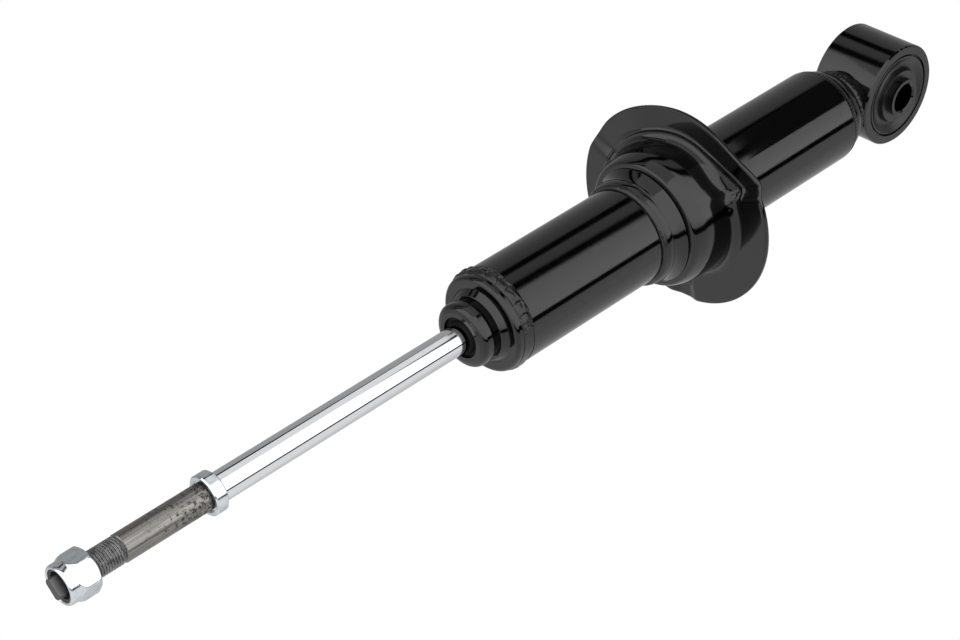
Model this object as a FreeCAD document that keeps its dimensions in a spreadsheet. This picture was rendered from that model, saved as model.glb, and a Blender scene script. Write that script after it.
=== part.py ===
"""Twin-tube shock absorber with a stepped spring seat, a lower eye and a threaded upper stud.

The origin is the centre of the lower eye. +Z runs along the rod towards the stud, and +X along the eye.
Millimetres throughout.
"""
import FreeCAD, Part
import math
import os
import Sketcher
from FreeCAD import Placement, Rotation, Vector

# Driving dimensions: alias, value, what it is.
SIZES = [
    ("press_gap", 0.02, "radial gap between pieces pressed or welded together"),
    ("run_gap", 0.05, "radial gap of a running fit"),
    ("stop_gap", 0.3, "gap left at the end of a stroke"),
    ("eye_od", 59.4, "lower eye ring, outside diameter"),
    ("eye_length", 38.0, "lower eye ring, length"),
    ("eye_wall", 5.0, "lower eye ring, wall"),
    ("eye_edge", 0.8, "lower eye ring, chamfer"),
    ("sleeve_od", 22.2, "inner sleeve, outside diameter"),
    ("sleeve_bore", 16.2, "inner sleeve, bore"),
    ("sleeve_length", 47.0, "inner sleeve, length"),
    ("sleeve_edge", 0.9, "inner sleeve, bore chamfer"),
    ("bush_groove", 1.1, "groove between ring and rubber"),
    ("bush_shoulder", 5.2, "width of the rubber's outer shoulder"),
    ("bush_dish", 3.4, "depth of the rubber's dish"),
    ("bush_bead", 4.0, "width of the rubber bead round the sleeve"),
    ("base_depth", 18.0, "foot of the outer tube above the eye ring"),
    ("base_lift", 0.1, "gap between the base cap and the eye ring"),
    ("base_wall", 3.5, "base cap, wall"),
    ("base_round", 8.0, "base cap, outside corner radius"),
    ("base_plug", 8.0, "length of base cap inside the tube"),
    ("base_bead", 1.9, "bead round the foot of the tube, leg"),
    ("saddle_od", 36.0, "saddle weld, outside diameter"),
    ("saddle_depth", 9.0, "saddle weld, reach down the ring"),
    ("saddle_taper", 2.0, "saddle weld, taper at its foot"),
    ("tube_od", 54.0, "outer tube, outside diameter"),
    ("tube_wall", 2.0, "outer tube, wall"),
    ("tube_length", 253.8, "outer tube, length"),
    ("tube_round", 1.2, "outer tube, foot edge radius"),
    ("seat_rise", 116.1, "seat flange above the foot of the tube"),
    ("seat_od", 119.6, "seat flange, diameter"),
    ("seat_wall", 2.4, "seat, sheet thickness"),
    ("neck_rise", 41.2, "top of the seat's neck above its flange"),
    ("neck_wall", 2.35, "seat neck, wall"),
    ("neck_length", 4.8, "seat neck, length of its straight part"),
    ("neck_groove", 0.45, "depth of the groove at the foot of the neck"),
    ("bell_od", 77.8, "seat bell, diameter at its foot"),
    ("bell_foot", 12.7, "foot of the bell above the flange"),
    ("rim_trim", 2.3, "rim cut back along the spring track"),
    ("flange_fillet", 8.0, "hollow between the bell and the plain flange, width"),
    ("track_fillet", 4.0, "hollow between the bell and the spring track, width"),
    ("track_drop", 3.7, "track below the flange at the spring's end"),
    ("track_climb", 10.9, "climb of the track up to the first joggle"),
    ("joggle_rise", 3.1, "rise of the first joggle"),
    ("track_finish", 1.2, "climb of the track after the joggle"),
    ("track_lip", 0.5, "lip along the track's inner edge"),
    ("dart_depth", 2.0, "depth of the radial dart in the flange"),
    ("seat_bead", 2.3, "bead on top of the seat's neck, leg"),
    ("cap_step", 0.4, "cap's skirt inside the tube's outside"),
    ("cap_depth", 11.0, "cap's face above the tube's end"),
    ("cap_wall", 2.4, "cap, sheet thickness"),
    ("cap_round", 2.4, "cap, outside corner radius"),
    ("ring_od", 41.0, "raised ring on the cap, diameter"),
    ("ring_height", 3.4, "raised ring on the cap, height"),
    ("neck_od", 31.2, "neck under the head, diameter"),
    ("head_od", 35.0, "head, diameter"),
    ("head_height", 14.3, "head's front above the cap's face"),
    ("head_round", 3.2, "head, corner radius"),
    ("mouth_od", 22.6, "opening in the head"),
    ("weld_band", 6.8, "closing weld, width"),
    ("weld_height", 0.9, "closing weld, height on the skirt"),
    ("wiper_length", 5.2, "dust wiper, length"),
    ("wiper_lip", 1.6, "dust wiper, length of its tapered lip"),
    ("guide_bore", 18.0, "rod guide, bore for its bush"),
    ("guide_length", 26.5, "rod guide, length"),
    ("guide_plug", 8.0, "rod guide, length inside the cylinder"),
    ("ring_seal", 2.6, "guide ring seal, thickness"),
    ("bush_length", 22.0, "guide bush, length"),
    ("cylinder_wall", 1.5, "pressure tube, wall"),
    ("reserve_gap", 6.0, "oil space between the outer tube and the pressure tube"),
    ("cylinder_bore", "=tube_od - 2 * (tube_wall + reserve_gap + cylinder_wall)", "pressure tube, bore"),
    ("rod_od", 15.0, "rod, diameter"),
    ("stroke", 145.0, "rod's stroke"),
    ("rod_reach", 182.5, "stop collar's lower face above the tube's end"),
    ("stud_od", 14.5, "plain stud, diameter"),
    ("stud_length", 56.0, "stud, from the collar's lower face to its thread"),
    ("thread_od", 14.0, "thread, outside diameter"),
    ("thread_length", 36.5, "thread and tang, length"),
    ("rod_edge", 0.6, "chamfer at the rod's ends"),
    ("tang_thick", 6.0, "tang, thickness across its flats"),
    ("tang_length", 8.5, "tang, length"),
    ("tang_angle", 45.0, "tang, direction its flats face"),
    ("collar_od", 21.1, "stop collar, diameter"),
    ("collar_width", 7.0, "stop collar, width"),
    ("collar_edge", 0.7, "stop collar, chamfer"),
    ("collar_recess", 2.6, "stop collar, recess round the stud"),
    ("nut_flats", 21.0, "lock nut, across flats"),
    ("nut_height", 16.6, "lock nut, height"),
    ("nut_hex", 11.5, "lock nut, height of its hexagon"),
    ("nut_seat", 17.0, "lock nut's lower face above the start of the thread"),
    ("nut_collar", 19.4, "lock nut, diameter of its collar"),
    ("nut_mouth", 15.3, "lock nut, opening in its collar"),
    ("nut_lip", 1.1, "lock nut, thickness of the rolled lip"),
    ("nut_bevel", 1.2, "lock nut, height of the corner bevel"),
    ("nut_angle", 6.0, "lock nut, direction of one corner"),
    ("insert_od", 17.8, "locking ring, diameter"),
    ("insert_height", 3.6, "locking ring, height"),
    ("buffer_height", 12.0, "rebound buffer, height"),
    ("buffer_round", 1.5, "rebound buffer, edge radius"),
    ("stop_height", 6.0, "rebound stop, height"),
    ("piston_drop", 24.0, "rod's shoulder below the rebound stop"),
    ("spigot_od", 10.0, "rod's lower spigot, diameter"),
    ("support_height", 2.5, "piston support, height"),
    ("intake_height", 0.8, "intake plate, thickness"),
    ("piston_height", 16.0, "piston, height"),
    ("band_height", 10.0, "piston band, height"),
    ("band_thick", 1.0, "piston band, thickness"),
    ("disc_height", 1.2, "rebound discs, height of the stack"),
    ("spacer_height", 2.0, "disc spacer, height"),
    ("piston_nut_flats", 17.0, "piston nut, across flats"),
    ("piston_nut_height", 10.0, "piston nut, height"),
    ("spigot_end", 2.0, "spigot below the piston nut"),
    ("port_count", 8, "ports in each ring of the piston"),
    ("foot_leg_wall", 2.5, "foot valve's skirt, wall"),
    ("foot_leg", 8.0, "foot valve's skirt, height"),
    ("foot_slot", 7.0, "slots in the skirt, width"),
    ("foot_slot_height", 5.0, "slots in the skirt, height"),
    ("foot_flange", 3.0, "foot valve's flange, height"),
    ("foot_plug", 5.0, "foot valve, length inside the cylinder"),
    ("foot_port_count", 6, "foot valve's ports"),
    ("foot_disc_height", 1.2, "foot valve discs, height of the stack"),
    ("check_height", 0.8, "check plate, thickness"),
    ("check_spring_height", 1.5, "check spring, height"),
    ("rivet_od", 6.0, "foot valve rivet, diameter"),
    ("rivet_head_od", 11.0, "foot valve rivet, head diameter"),
    ("rivet_head", 2.4, "foot valve rivet, head height"),
]

# Diameters inside the pressure tube that follow its bore: alias, share of the bore, what it is.
BORE_SHARES = [
    ("buffer_od", 0.8, "rebound buffer, diameter"),
    ("stop_od", 0.771, "rebound stop, diameter"),
    ("support_od", 0.629, "piston support, diameter"),
    ("intake_od", 0.857, "intake plate, diameter"),
    ("intake_port", 0.086, "piston's outer ports, diameter"),
    ("intake_circle", 0.697, "piston's outer ports, circle"),
    ("rebound_port", 0.074, "piston's inner ports, diameter"),
    ("rebound_circle", 0.474, "piston's inner ports, circle"),
    ("disc_od", 0.714, "rebound discs, diameter"),
    ("spacer_od", 0.486, "disc spacer, diameter"),
    ("foot_leg_od", 0.943, "foot valve's skirt, diameter"),
    ("foot_port", 0.091, "foot valve's ports, diameter"),
    ("foot_circle", 0.629, "foot valve's ports, circle"),
    ("foot_disc_od", 0.486, "foot valve discs, diameter"),
    ("check_od", 0.771, "check plate, diameter"),
    ("check_spring_od", 0.514, "check spring, diameter"),
]

doc = FreeCAD.newDocument("shock_absorber")
sheet = doc.addObject("Spreadsheet::Sheet", "dims")
cells = SIZES + [(alias, f"={share} * cylinder_bore", note) for alias, share, note in BORE_SHARES]
for row, (alias, value, note) in enumerate(cells, start=1):
    sheet.set(f"A{row}", note)
    sheet.set(f"B{row}", str(value))
    sheet.setAlias(f"B{row}", alias)
doc.recompute()

# Radii and levels that several pieces share, as expressions on the sheet.
eye_r = "dims.eye_od / 2"
eye_in = f"({eye_r} - dims.eye_wall)"
sleeve_r = "dims.sleeve_od / 2"
tube_r = "dims.tube_od / 2"
tube_in = f"({tube_r} - dims.tube_wall)"
tube_foot = f"({eye_r} + dims.base_depth)"
tube_end = f"({tube_foot} + dims.tube_length)"
base_low = f"({eye_r} + dims.base_lift)"
base_floor = f"({base_low} + dims.base_wall)"
base_r = f"({tube_in} - dims.press_gap)"
skirt_r = f"({tube_r} - dims.cap_step)"
cap_face = f"({tube_end} + dims.cap_depth)"
cap_under = f"({cap_face} - dims.cap_wall)"
head_front = f"({cap_face} + dims.head_height)"
mouth_r = "dims.mouth_od / 2"
head_room_r = "(dims.neck_od / 2 - dims.cap_wall)"
wiper_low = f"({head_front} - dims.wiper_length)"
rod_r = "dims.rod_od / 2"
bush_r = "dims.guide_bore / 2"
guide_low = f"({cap_under} - dims.guide_length)"
cylinder_r = "dims.cylinder_bore / 2"
cylinder_out = f"({cylinder_r} + dims.cylinder_wall)"
cylinder_end = f"({guide_low} + dims.guide_plug)"
foot_face = f"({base_floor} + dims.foot_leg)"
cylinder_foot = f"({foot_face} + dims.foot_flange)"
foot_top = f"({cylinder_foot} + dims.foot_plug)"
check_top = f"({foot_top} + dims.check_height)"
rivet_seat = f"({check_top} + dims.check_spring_height)"
rivet_r = "dims.rivet_od / 2"
collar_low = f"({tube_end} + dims.rod_reach)"
collar_top = f"({collar_low} + dims.collar_width)"
recess_low = f"({collar_top} - dims.collar_recess / 2)"
stud_low = f"({collar_top} + dims.stop_gap)"
stud_r = "dims.stud_od / 2"
thread_r = "dims.thread_od / 2"
thread_low = f"({collar_low} + dims.stud_length)"
rod_tip = f"({thread_low} + dims.thread_length)"
nut_low = f"({thread_low} + dims.nut_seat)"
nut_top = f"({nut_low} + dims.nut_height)"
insert_top = f"({nut_top} - dims.nut_lip)"
insert_low = f"({insert_top} - dims.insert_height)"
buffer_top = f"({guide_low} - dims.stop_gap)"
stop_top = f"({buffer_top} - dims.buffer_height)"
stop_low = f"({stop_top} - dims.stop_height)"
shoulder = f"({stop_low} - dims.piston_drop)"
spigot_r = "dims.spigot_od / 2"
on_spigot = f"({spigot_r} + dims.press_gap)"
support_low = f"({shoulder} - dims.support_height)"
piston_top = f"({support_low} - dims.intake_height)"
piston_low = f"({piston_top} - dims.piston_height)"
discs_low = f"({piston_low} - dims.disc_height)"
spacer_low = f"({discs_low} - dims.spacer_height)"
piston_nut_low = f"({spacer_low} - dims.piston_nut_height)"
band_r = f"({cylinder_r} - dims.run_gap)"
piston_r = f"({band_r} - 2 * dims.run_gap)"
groove_r = f"({band_r} - dims.band_thick - dims.run_gap)"
band_low = f"({piston_low} + (dims.piston_height - dims.band_height) / 2)"

parts = {}


def size(expression):
    """The number that an expression on the sheet stands for now."""
    return float(sheet.evalExpression(str(expression)))


def origin_item(body, role):
    return next(item for item in body.Origin.OriginFeatures if item.Role == role)


def keep(name, shape_object):
    """Hands a finished object in under its own name."""
    shape_object.Label = name
    parts[name] = shape_object


def closed_sketch(body, name, role, corners):
    """A closed outline of straight lines, each corner held at its own pair of expressions."""
    sketch = body.newObject("Sketcher::SketchObject", name)
    sketch.AttachmentSupport = [(origin_item(body, role), "")]
    sketch.MapMode = "FlatFace"
    points = [Vector(size(across), size(along), 0) for across, along in corners]
    count = len(points)
    for index, point in enumerate(points):
        sketch.addGeometry(Part.LineSegment(point, points[(index + 1) % count]), False)
    for index in range(count):
        sketch.addConstraint(Sketcher.Constraint("Coincident", index, 2, (index + 1) % count, 1))
    for index, corner in enumerate(corners):
        for kind, point_value, expression in zip(("DistanceX", "DistanceY"), points[index], corner):
            number = sketch.addConstraint(Sketcher.Constraint(kind, -1, 1, index, 1, point_value))
            sketch.setExpression(f"Constraints[{number}]", str(expression))
    return sketch


def ring_edges(shape, radius, level, along):
    """Names of the full circles of one radius at one level along a turned piece's axis."""
    names = []
    for number, edge in enumerate(shape.Edges, start=1):
        curve = edge.Curve
        if curve.TypeId != "Part::GeomCircle":
            continue
        same_size = abs(curve.Radius - radius) < 1e-4
        same_place = abs(curve.Center.dot(along) - level) < 1e-4
        if same_size and same_place:
            names.append(f"Edge{number}")
    return names


def dress(body, feature_type, corners, numbers, expression, along):
    """Rounds or bevels a turned piece at the numbered corners of its outline."""
    doc.recompute()
    base = body.Tip
    names = []
    for number in numbers:
        radius, level = corners[number] if along.z else reversed(corners[number])
        names += ring_edges(base.Shape, size(radius), size(level), along)
    feature = body.newObject(feature_type, body.Name + feature_type.rsplit(":", 1)[1])
    feature.Base = (base, names)
    feature.setExpression("Radius" if feature_type.endswith("Fillet") else "Size", str(expression))
    body.Tip = feature
    return feature


def turned(name, corners, rounds=(), bevels=(), cross=False):
    """A turned piece: its outline swept about Z, or about X for a piece that lies across."""
    body = doc.addObject("PartDesign::Body", name)
    sketch = closed_sketch(body, name + "_outline", "XZ_Plane", corners)
    sweep = body.newObject("PartDesign::Revolution", name + "_sweep")
    sweep.Profile = sketch
    sweep.ReferenceAxis = (sketch, ["H_Axis" if cross else "V_Axis"])
    sweep.Angle = 360
    along = Vector(1, 0, 0) if cross else Vector(0, 0, 1)
    for numbers, expression in rounds:
        dress(body, "PartDesign::Fillet", corners, numbers, expression, along)
    for numbers, expression in bevels:
        dress(body, "PartDesign::Chamfer", corners, numbers, expression, along)
    return body


def hoop(inner, outer, low, high):
    """Outline of a plain ring between two radii and two levels."""
    return [(inner, low), (outer, low), (outer, high), (inner, high)]


def port_ring(body, name, radius, circle, count):
    """Drills a ring of ports through a turned body, parallel to its axis."""
    doc.recompute()
    before = body.Shape.Volume
    sketch = body.newObject("Sketcher::SketchObject", name)
    sketch.AttachmentSupport = [(origin_item(body, "XY_Plane"), "")]
    sketch.MapMode = "FlatFace"
    centre = Vector(size(circle), 0, 0)
    sketch.addGeometry(Part.Circle(centre, Vector(0, 0, 1), size(radius)), False)
    sketch.addConstraint(Sketcher.Constraint("PointOnObject", 0, 3, -1))
    across = sketch.addConstraint(Sketcher.Constraint("DistanceX", -1, 1, 0, 3, size(circle)))
    sketch.setExpression(f"Constraints[{across}]", circle)
    bore = sketch.addConstraint(Sketcher.Constraint("Radius", 0, size(radius)))
    sketch.setExpression(f"Constraints[{bore}]", radius)
    drill = body.newObject("PartDesign::Pocket", name + "_drill")
    drill.Profile = sketch
    drill.Type = "ThroughAll"
    drill.Midplane = True
    pattern = body.newObject("PartDesign::PolarPattern", name + "_ring")
    pattern.Originals = [drill]
    pattern.Axis = (origin_item(body, "Z_Axis"), [""])
    pattern.Angle = 360
    pattern.setExpression("Occurrences", count)
    body.Tip = pattern
    doc.recompute()
    if body.Shape.Volume >= before:
        raise RuntimeError(f"{name} removed nothing")


def lower_eye():
    half = "dims.eye_length / 2"
    corners = [(f"-{half}", eye_in), (f"-{half}", eye_r), (half, eye_r), (half, eye_in)]
    keep("lower_eye", turned("eye_ring", corners, bevels=[((1, 2), "dims.eye_edge")], cross=True))


def eye_bush():
    """Rubber with a groove at the ring, a shoulder, a dish and a bead round the sleeve."""
    half = "dims.eye_length / 2"
    inner = f"({sleeve_r} + dims.run_gap)"
    outer = f"({eye_in} - dims.press_gap)"
    shoulder_out = f"({outer} - dims.bush_groove)"
    shoulder_in = f"({shoulder_out} - dims.bush_shoulder)"
    bead_out = f"({inner} + dims.bush_bead)"
    floor = f"({half} - dims.bush_dish)"
    groove = f"({half} - 2 * dims.bush_groove)"
    bead = f"({half} + dims.bush_groove)"
    right = [(bead, inner), (bead, bead_out), (floor, f"({bead_out} + dims.bush_groove)"),
             (floor, f"({shoulder_in} - dims.bush_groove)"), (half, shoulder_in), (half, shoulder_out),
             (groove, shoulder_out), (groove, outer)]
    left = [(f"-{along}", radius) for along, radius in reversed(right)]
    keep("eye_rubber_bush", turned("rubber_bush", right + left, cross=True))


def eye_sleeve():
    half = "dims.sleeve_length / 2"
    corners = [(f"-{half}", "dims.sleeve_bore / 2"), (f"-{half}", sleeve_r), (half, sleeve_r),
               (half, "dims.sleeve_bore / 2")]
    keep("eye_inner_sleeve", turned("sleeve", corners, bevels=[((0, 3), "dims.sleeve_edge")], cross=True))


def base_cap():
    top = f"({tube_foot} + dims.base_plug)"
    inner = f"({base_r} - dims.base_wall)"
    corners = [(0, base_low), (base_r, base_low), (base_r, top), (inner, top), (inner, base_floor),
               (0, base_floor)]
    rounds = [((1,), "dims.base_round"), ((4,), "dims.base_round - dims.base_wall")]
    keep("base_cap", turned("base_cup", corners, rounds))


def base_weld():
    inner = f"({base_r} + dims.press_gap)"
    leg = "dims.base_bead"
    outer = f"({inner} + {leg})"
    corners = [(inner, f"({tube_foot} - 2 * {leg})"),
               (f"({inner} + {leg} / 2)", f"({tube_foot} - 1.6 * {leg})"),
               (outer, f"({tube_foot} - {leg})"), (outer, tube_foot), (inner, tube_foot)]
    keep("base_weld", turned("foot_bead", corners))


def eye_weld():
    """Saddle of weld metal that fills the wedge between the base cap and the ring."""
    outer = "dims.saddle_od / 2"
    low = f"({base_low} - dims.saddle_depth)"
    blank = turned("saddle_blank", [
        (0, low), (f"({outer} - dims.saddle_taper)", low), (outer, f"({base_low} - dims.saddle_depth / 2)"),
        (outer, base_low), (0, base_low)])
    ring = doc.addObject("Part::Cylinder", "saddle_ring")
    ring.setExpression("Radius", f"{eye_r} + dims.press_gap")
    ring.setExpression("Height", "2 * dims.tube_od")
    ring.setExpression("Placement.Base.x", "-dims.tube_od")
    ring.Placement.Rotation = Rotation(Vector(0, 1, 0), 90)
    saddle = doc.addObject("Part::Cut", "saddle")
    saddle.Base = blank
    saddle.Tool = ring
    keep("eye_weld", saddle)


def reserve_tube():
    corners = hoop(tube_in, tube_r, tube_foot, tube_end)
    keep("reserve_tube", turned("outer_tube", corners, [((1,), "dims.tube_round")]))


def smooth(share):
    """Eases from 0 to 1 with level ends."""
    share = min(max(share, 0.0), 1.0)
    return share * share * (3 - 2 * share)


# Directions round the seat, in degrees: the spring's stop, the joggle, the far drop and the dart.
STOP = (24, 32)
JOGGLE = (152, 164)
DROP = (236, 252)
DART = (264, 272, 276, 284)
# Where the rim is cut back and where it returns to its full radius.
TRIM = (20, 60, 148, 236)
# The track's climb from the stop to the joggle: direction, and share of the whole climb.
CLIMB = ((32, 0.0), (39, 0.21), (47, 0.41), (56, 0.49), (74, 0.5), (82, 0.53), (90, 0.59), (98, 0.69),
         (106, 0.8), (114, 0.91), (122, 0.98), (138, 1.02), (152, 1.0))
SECTION_STEP = 4


def between(turn, span):
    """Eased share of the way through a span of directions."""
    return smooth((turn - span[0]) / (span[1] - span[0]))


def climb_share(turn):
    """Smooth curve through the points of the climb."""
    turns = [point[0] for point in CLIMB]
    shares = [point[1] for point in CLIMB]
    last = len(CLIMB) - 1
    left = max(number for number in range(last) if turns[number] <= turn)
    slopes = []
    for number in (left, left + 1):
        low, high = max(number - 1, 0), min(number + 1, last)
        slopes.append((shares[high] - shares[low]) / (turns[high] - turns[low]))
    width = turns[left + 1] - turns[left]
    along = (turn - turns[left]) / width
    start = shares[left] * (1 + 2 * along) + slopes[0] * width * along
    finish = shares[left + 1] * (3 - 2 * along) - slopes[1] * width * (1 - along)
    return start * (1 - along) ** 2 + finish * along ** 2


def track_level(turn):
    """Height of the seat's upper face over the plain flange, at a direction of 0 to 360 degrees."""
    drop, climb = size("dims.track_drop"), size("dims.track_climb")
    if turn <= STOP[1]:
        return -drop * between(turn, STOP)
    if turn <= JOGGLE[0]:
        return climb * climb_share(turn) - drop
    top = climb - drop + size("dims.joggle_rise") * between(turn, JOGGLE)
    top += size("dims.track_finish") * between(turn, (JOGGLE[1], DROP[0]))
    dart = between(turn, DART[:2]) - between(turn, DART[2:])
    return top * (1 - between(turn, DROP)) - size("dims.dart_depth") * dart


def seat_section(turn):
    """Closed wire of the pressed sheet, cut by a plane through the axis at one direction."""
    flange = size(f"{tube_foot} + dims.seat_rise")
    on_track = between(turn, STOP) - between(turn, DROP)
    trimmed = between(turn, TRIM[:2]) - between(turn, TRIM[2:])
    rim = size("dims.seat_od / 2") - size("dims.rim_trim") * trimmed
    wall = size("dims.seat_wall")
    inner = size(f"{tube_r} + dims.run_gap")
    neck = inner + size("dims.neck_wall")
    neck_top = flange + size("dims.neck_rise")
    flare = neck_top - size("dims.neck_length")
    bell = size("dims.bell_od / 2")
    foot = flange + size("dims.bell_foot")
    groove = size("dims.neck_groove")
    level = flange + track_level(turn)
    lip = size("dims.track_lip") * on_track
    hollow = size("dims.flange_fillet") * (1 - on_track) + size("dims.track_fillet") * on_track
    edge = bell + hollow

    # The flare and the bell, then the hollow and the low lip that lead onto the flange.
    drop = flare - foot
    shape = [(0.0, 0.0), (0.17, 0.15), (0.5, 0.33), (0.76, 0.53), (0.92, 0.78), (1.0, 1.0)]
    top = [(neck + (bell - neck) * out, flare - drop * down) for out, down in shape]
    fall = foot - level
    shape = [(0.16, 0.62), (0.42, 0.25), (0.75, 0.06), (1.0, 0.0)]
    top += [(bell + hollow * out, level + fall * up) for out, up in shape]
    top += [(edge + wall / 2, level + lip), (edge + wall, level)]
    under = []
    for number, (out, up) in enumerate(top):
        before = top[max(number - 1, 0)]
        after = top[min(number + 1, len(top) - 1)]
        run = (after[0] - before[0], after[1] - before[1])
        length = math.hypot(*run)
        under.append((out + wall * run[1] / length, up - wall * run[0] / length))
    under[0] = (inner, flare)
    under[1] = (inner + 0.25 * wall, under[1][1])
    under[-1] = (top[-1][0], level - wall)

    angle = math.radians(turn)
    axis_x, axis_y = math.cos(angle), math.sin(angle)

    def place(point):
        return Vector(point[0] * axis_x, point[0] * axis_y, point[1])

    def path(points):
        return [Part.makeLine(place(a), place(b)) for a, b in zip(points, points[1:])]

    bell_curve = Part.BSplineCurve()
    bell_curve.interpolate([place(point) for point in top])
    edges = path([(inner, neck_top), (neck, neck_top), (neck, flare + 2 * groove),
                  (neck - groove, flare + groove), (neck, flare)])
    edges.append(bell_curve.toShape())
    edges += path([top[-1], (rim, level), (rim, level - wall), under[-1]])
    edges += path(under[::-1] + [(inner, neck_top)])
    return Part.Wire(edges)


def spring_seat():
    """Pressed seat: a neck and a bell, and a flange whose track climbs and steps round the axis."""
    sections = [seat_section(turn) for turn in range(0, 360, SECTION_STEP)]
    seat = doc.addObject("Part::Feature", "pressed_seat")
    seat.Shape = Part.makeLoft(sections, True, False, True)
    seat.Placement = Placement()
    keep("spring_seat", seat)


def seat_weld():
    inner = f"({tube_r} + dims.press_gap)"
    low = f"({tube_foot} + dims.seat_rise + dims.neck_rise)"
    leg = "dims.seat_bead"
    corners = [(inner, low), (f"({inner} + {leg})", low),
               (f"({inner} + 0.75 * {leg})", f"({low} + 0.6 * {leg})"), (inner, f"({low} + {leg})")]
    keep("seat_weld", turned("neck_bead", corners))


def top_cap():
    """Pressed cap: skirt, face, raised ring, neck and bulging head with the rod's opening."""
    skirt_in = f"({skirt_r} - dims.cap_wall)"
    ring_r = "dims.ring_od / 2"
    crest = f"({ring_r} - dims.cap_wall)"
    neck = "dims.neck_od / 2"
    neck_low = f"({cap_face} + dims.ring_height)"
    head_low = f"({neck_low} + dims.head_round / 2)"
    head = "dims.head_od / 2"
    corners = [(skirt_r, tube_end), (skirt_r, cap_face), (ring_r, cap_face), (crest, neck_low),
               (neck, neck_low), (neck, head_low), (head, f"({head_low} + dims.cap_wall)"),
               (head, f"({head_front} - dims.cap_wall / 2)"), (f"({mouth_r} + dims.cap_wall)", head_front),
               (mouth_r, head_front), (mouth_r, wiper_low), (head_room_r, wiper_low),
               (head_room_r, cap_under), (skirt_in, cap_under), (skirt_in, tube_end)]
    rounds = [((1,), "dims.cap_round"), ((3,), "dims.cap_wall / 3"), ((6,), "dims.head_round / 2"),
              ((7,), "dims.head_round")]
    keep("top_cap", turned("pressed_cap", corners, rounds))


def closing_weld():
    inner = f"({skirt_r} + dims.press_gap)"
    outer = f"({inner} + dims.weld_height)"
    corners = hoop(inner, outer, tube_end, f"({tube_end} + dims.weld_band)")
    keep("closing_weld", turned("weld_ring", corners, [((1, 2), "dims.weld_height / 2")]))


def dust_wiper():
    inner = f"({rod_r} + dims.run_gap)"
    outer = f"({mouth_r} - dims.press_gap)"
    lip = f"({head_front} - dims.wiper_lip)"
    corners = [(inner, wiper_low), (outer, wiper_low), (outer, lip), (f"({inner} + dims.wiper_lip)", lip),
               (f"({inner} + dims.wiper_lip / 3)", head_front), (inner, head_front)]
    keep("dust_wiper", turned("wiper", corners))


def oil_seal():
    corners = hoop(f"({rod_r} + dims.run_gap)", f"({head_room_r} - dims.press_gap)", cap_under, wiper_low)
    keep("oil_seal", turned("seal", corners))


def rod_guide():
    """Guide that plugs the cylinder, sits in the outer tube and holds the bush and a ring seal."""
    plug = f"({cylinder_r} - dims.press_gap)"
    outer = f"({tube_in} - dims.press_gap)"
    upper = f"({skirt_r} - dims.cap_wall - dims.press_gap)"
    groove = f"({outer} - dims.ring_seal)"
    groove_low = f"({cylinder_end} + dims.ring_seal)"
    groove_high = f"({groove_low} + dims.ring_seal)"
    corners = [(bush_r, guide_low), (plug, guide_low), (plug, cylinder_end), (outer, cylinder_end),
               (outer, groove_low), (groove, groove_low), (groove, groove_high), (outer, groove_high),
               (outer, tube_end), (upper, tube_end), (upper, cap_under), (bush_r, cap_under)]
    keep("rod_guide", turned("guide", corners, bevels=[((1,), "dims.rod_edge")]))


def guide_pieces():
    low = f"({guide_low} + (dims.guide_length - dims.bush_length) / 2)"
    high = f"({low} + dims.bush_length)"
    corners = hoop(f"({rod_r} + dims.run_gap)", f"({bush_r} - dims.press_gap)", low, high)
    keep("guide_bush", turned("lined_bush", corners))
    seal = doc.addObject("Part::Torus", "guide_seal")
    seal.setExpression("Radius1", f"{tube_in} - dims.press_gap - dims.ring_seal / 2")
    seal.setExpression("Radius2", "dims.ring_seal / 2 - dims.press_gap")
    seal.setExpression("Placement.Base.z", f"{cylinder_end} + 1.5 * dims.ring_seal")
    keep("guide_o_ring", seal)


def pressure_tube():
    keep("pressure_tube", turned("cylinder", hoop(cylinder_r, cylinder_out, cylinder_foot, cylinder_end)))


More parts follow.
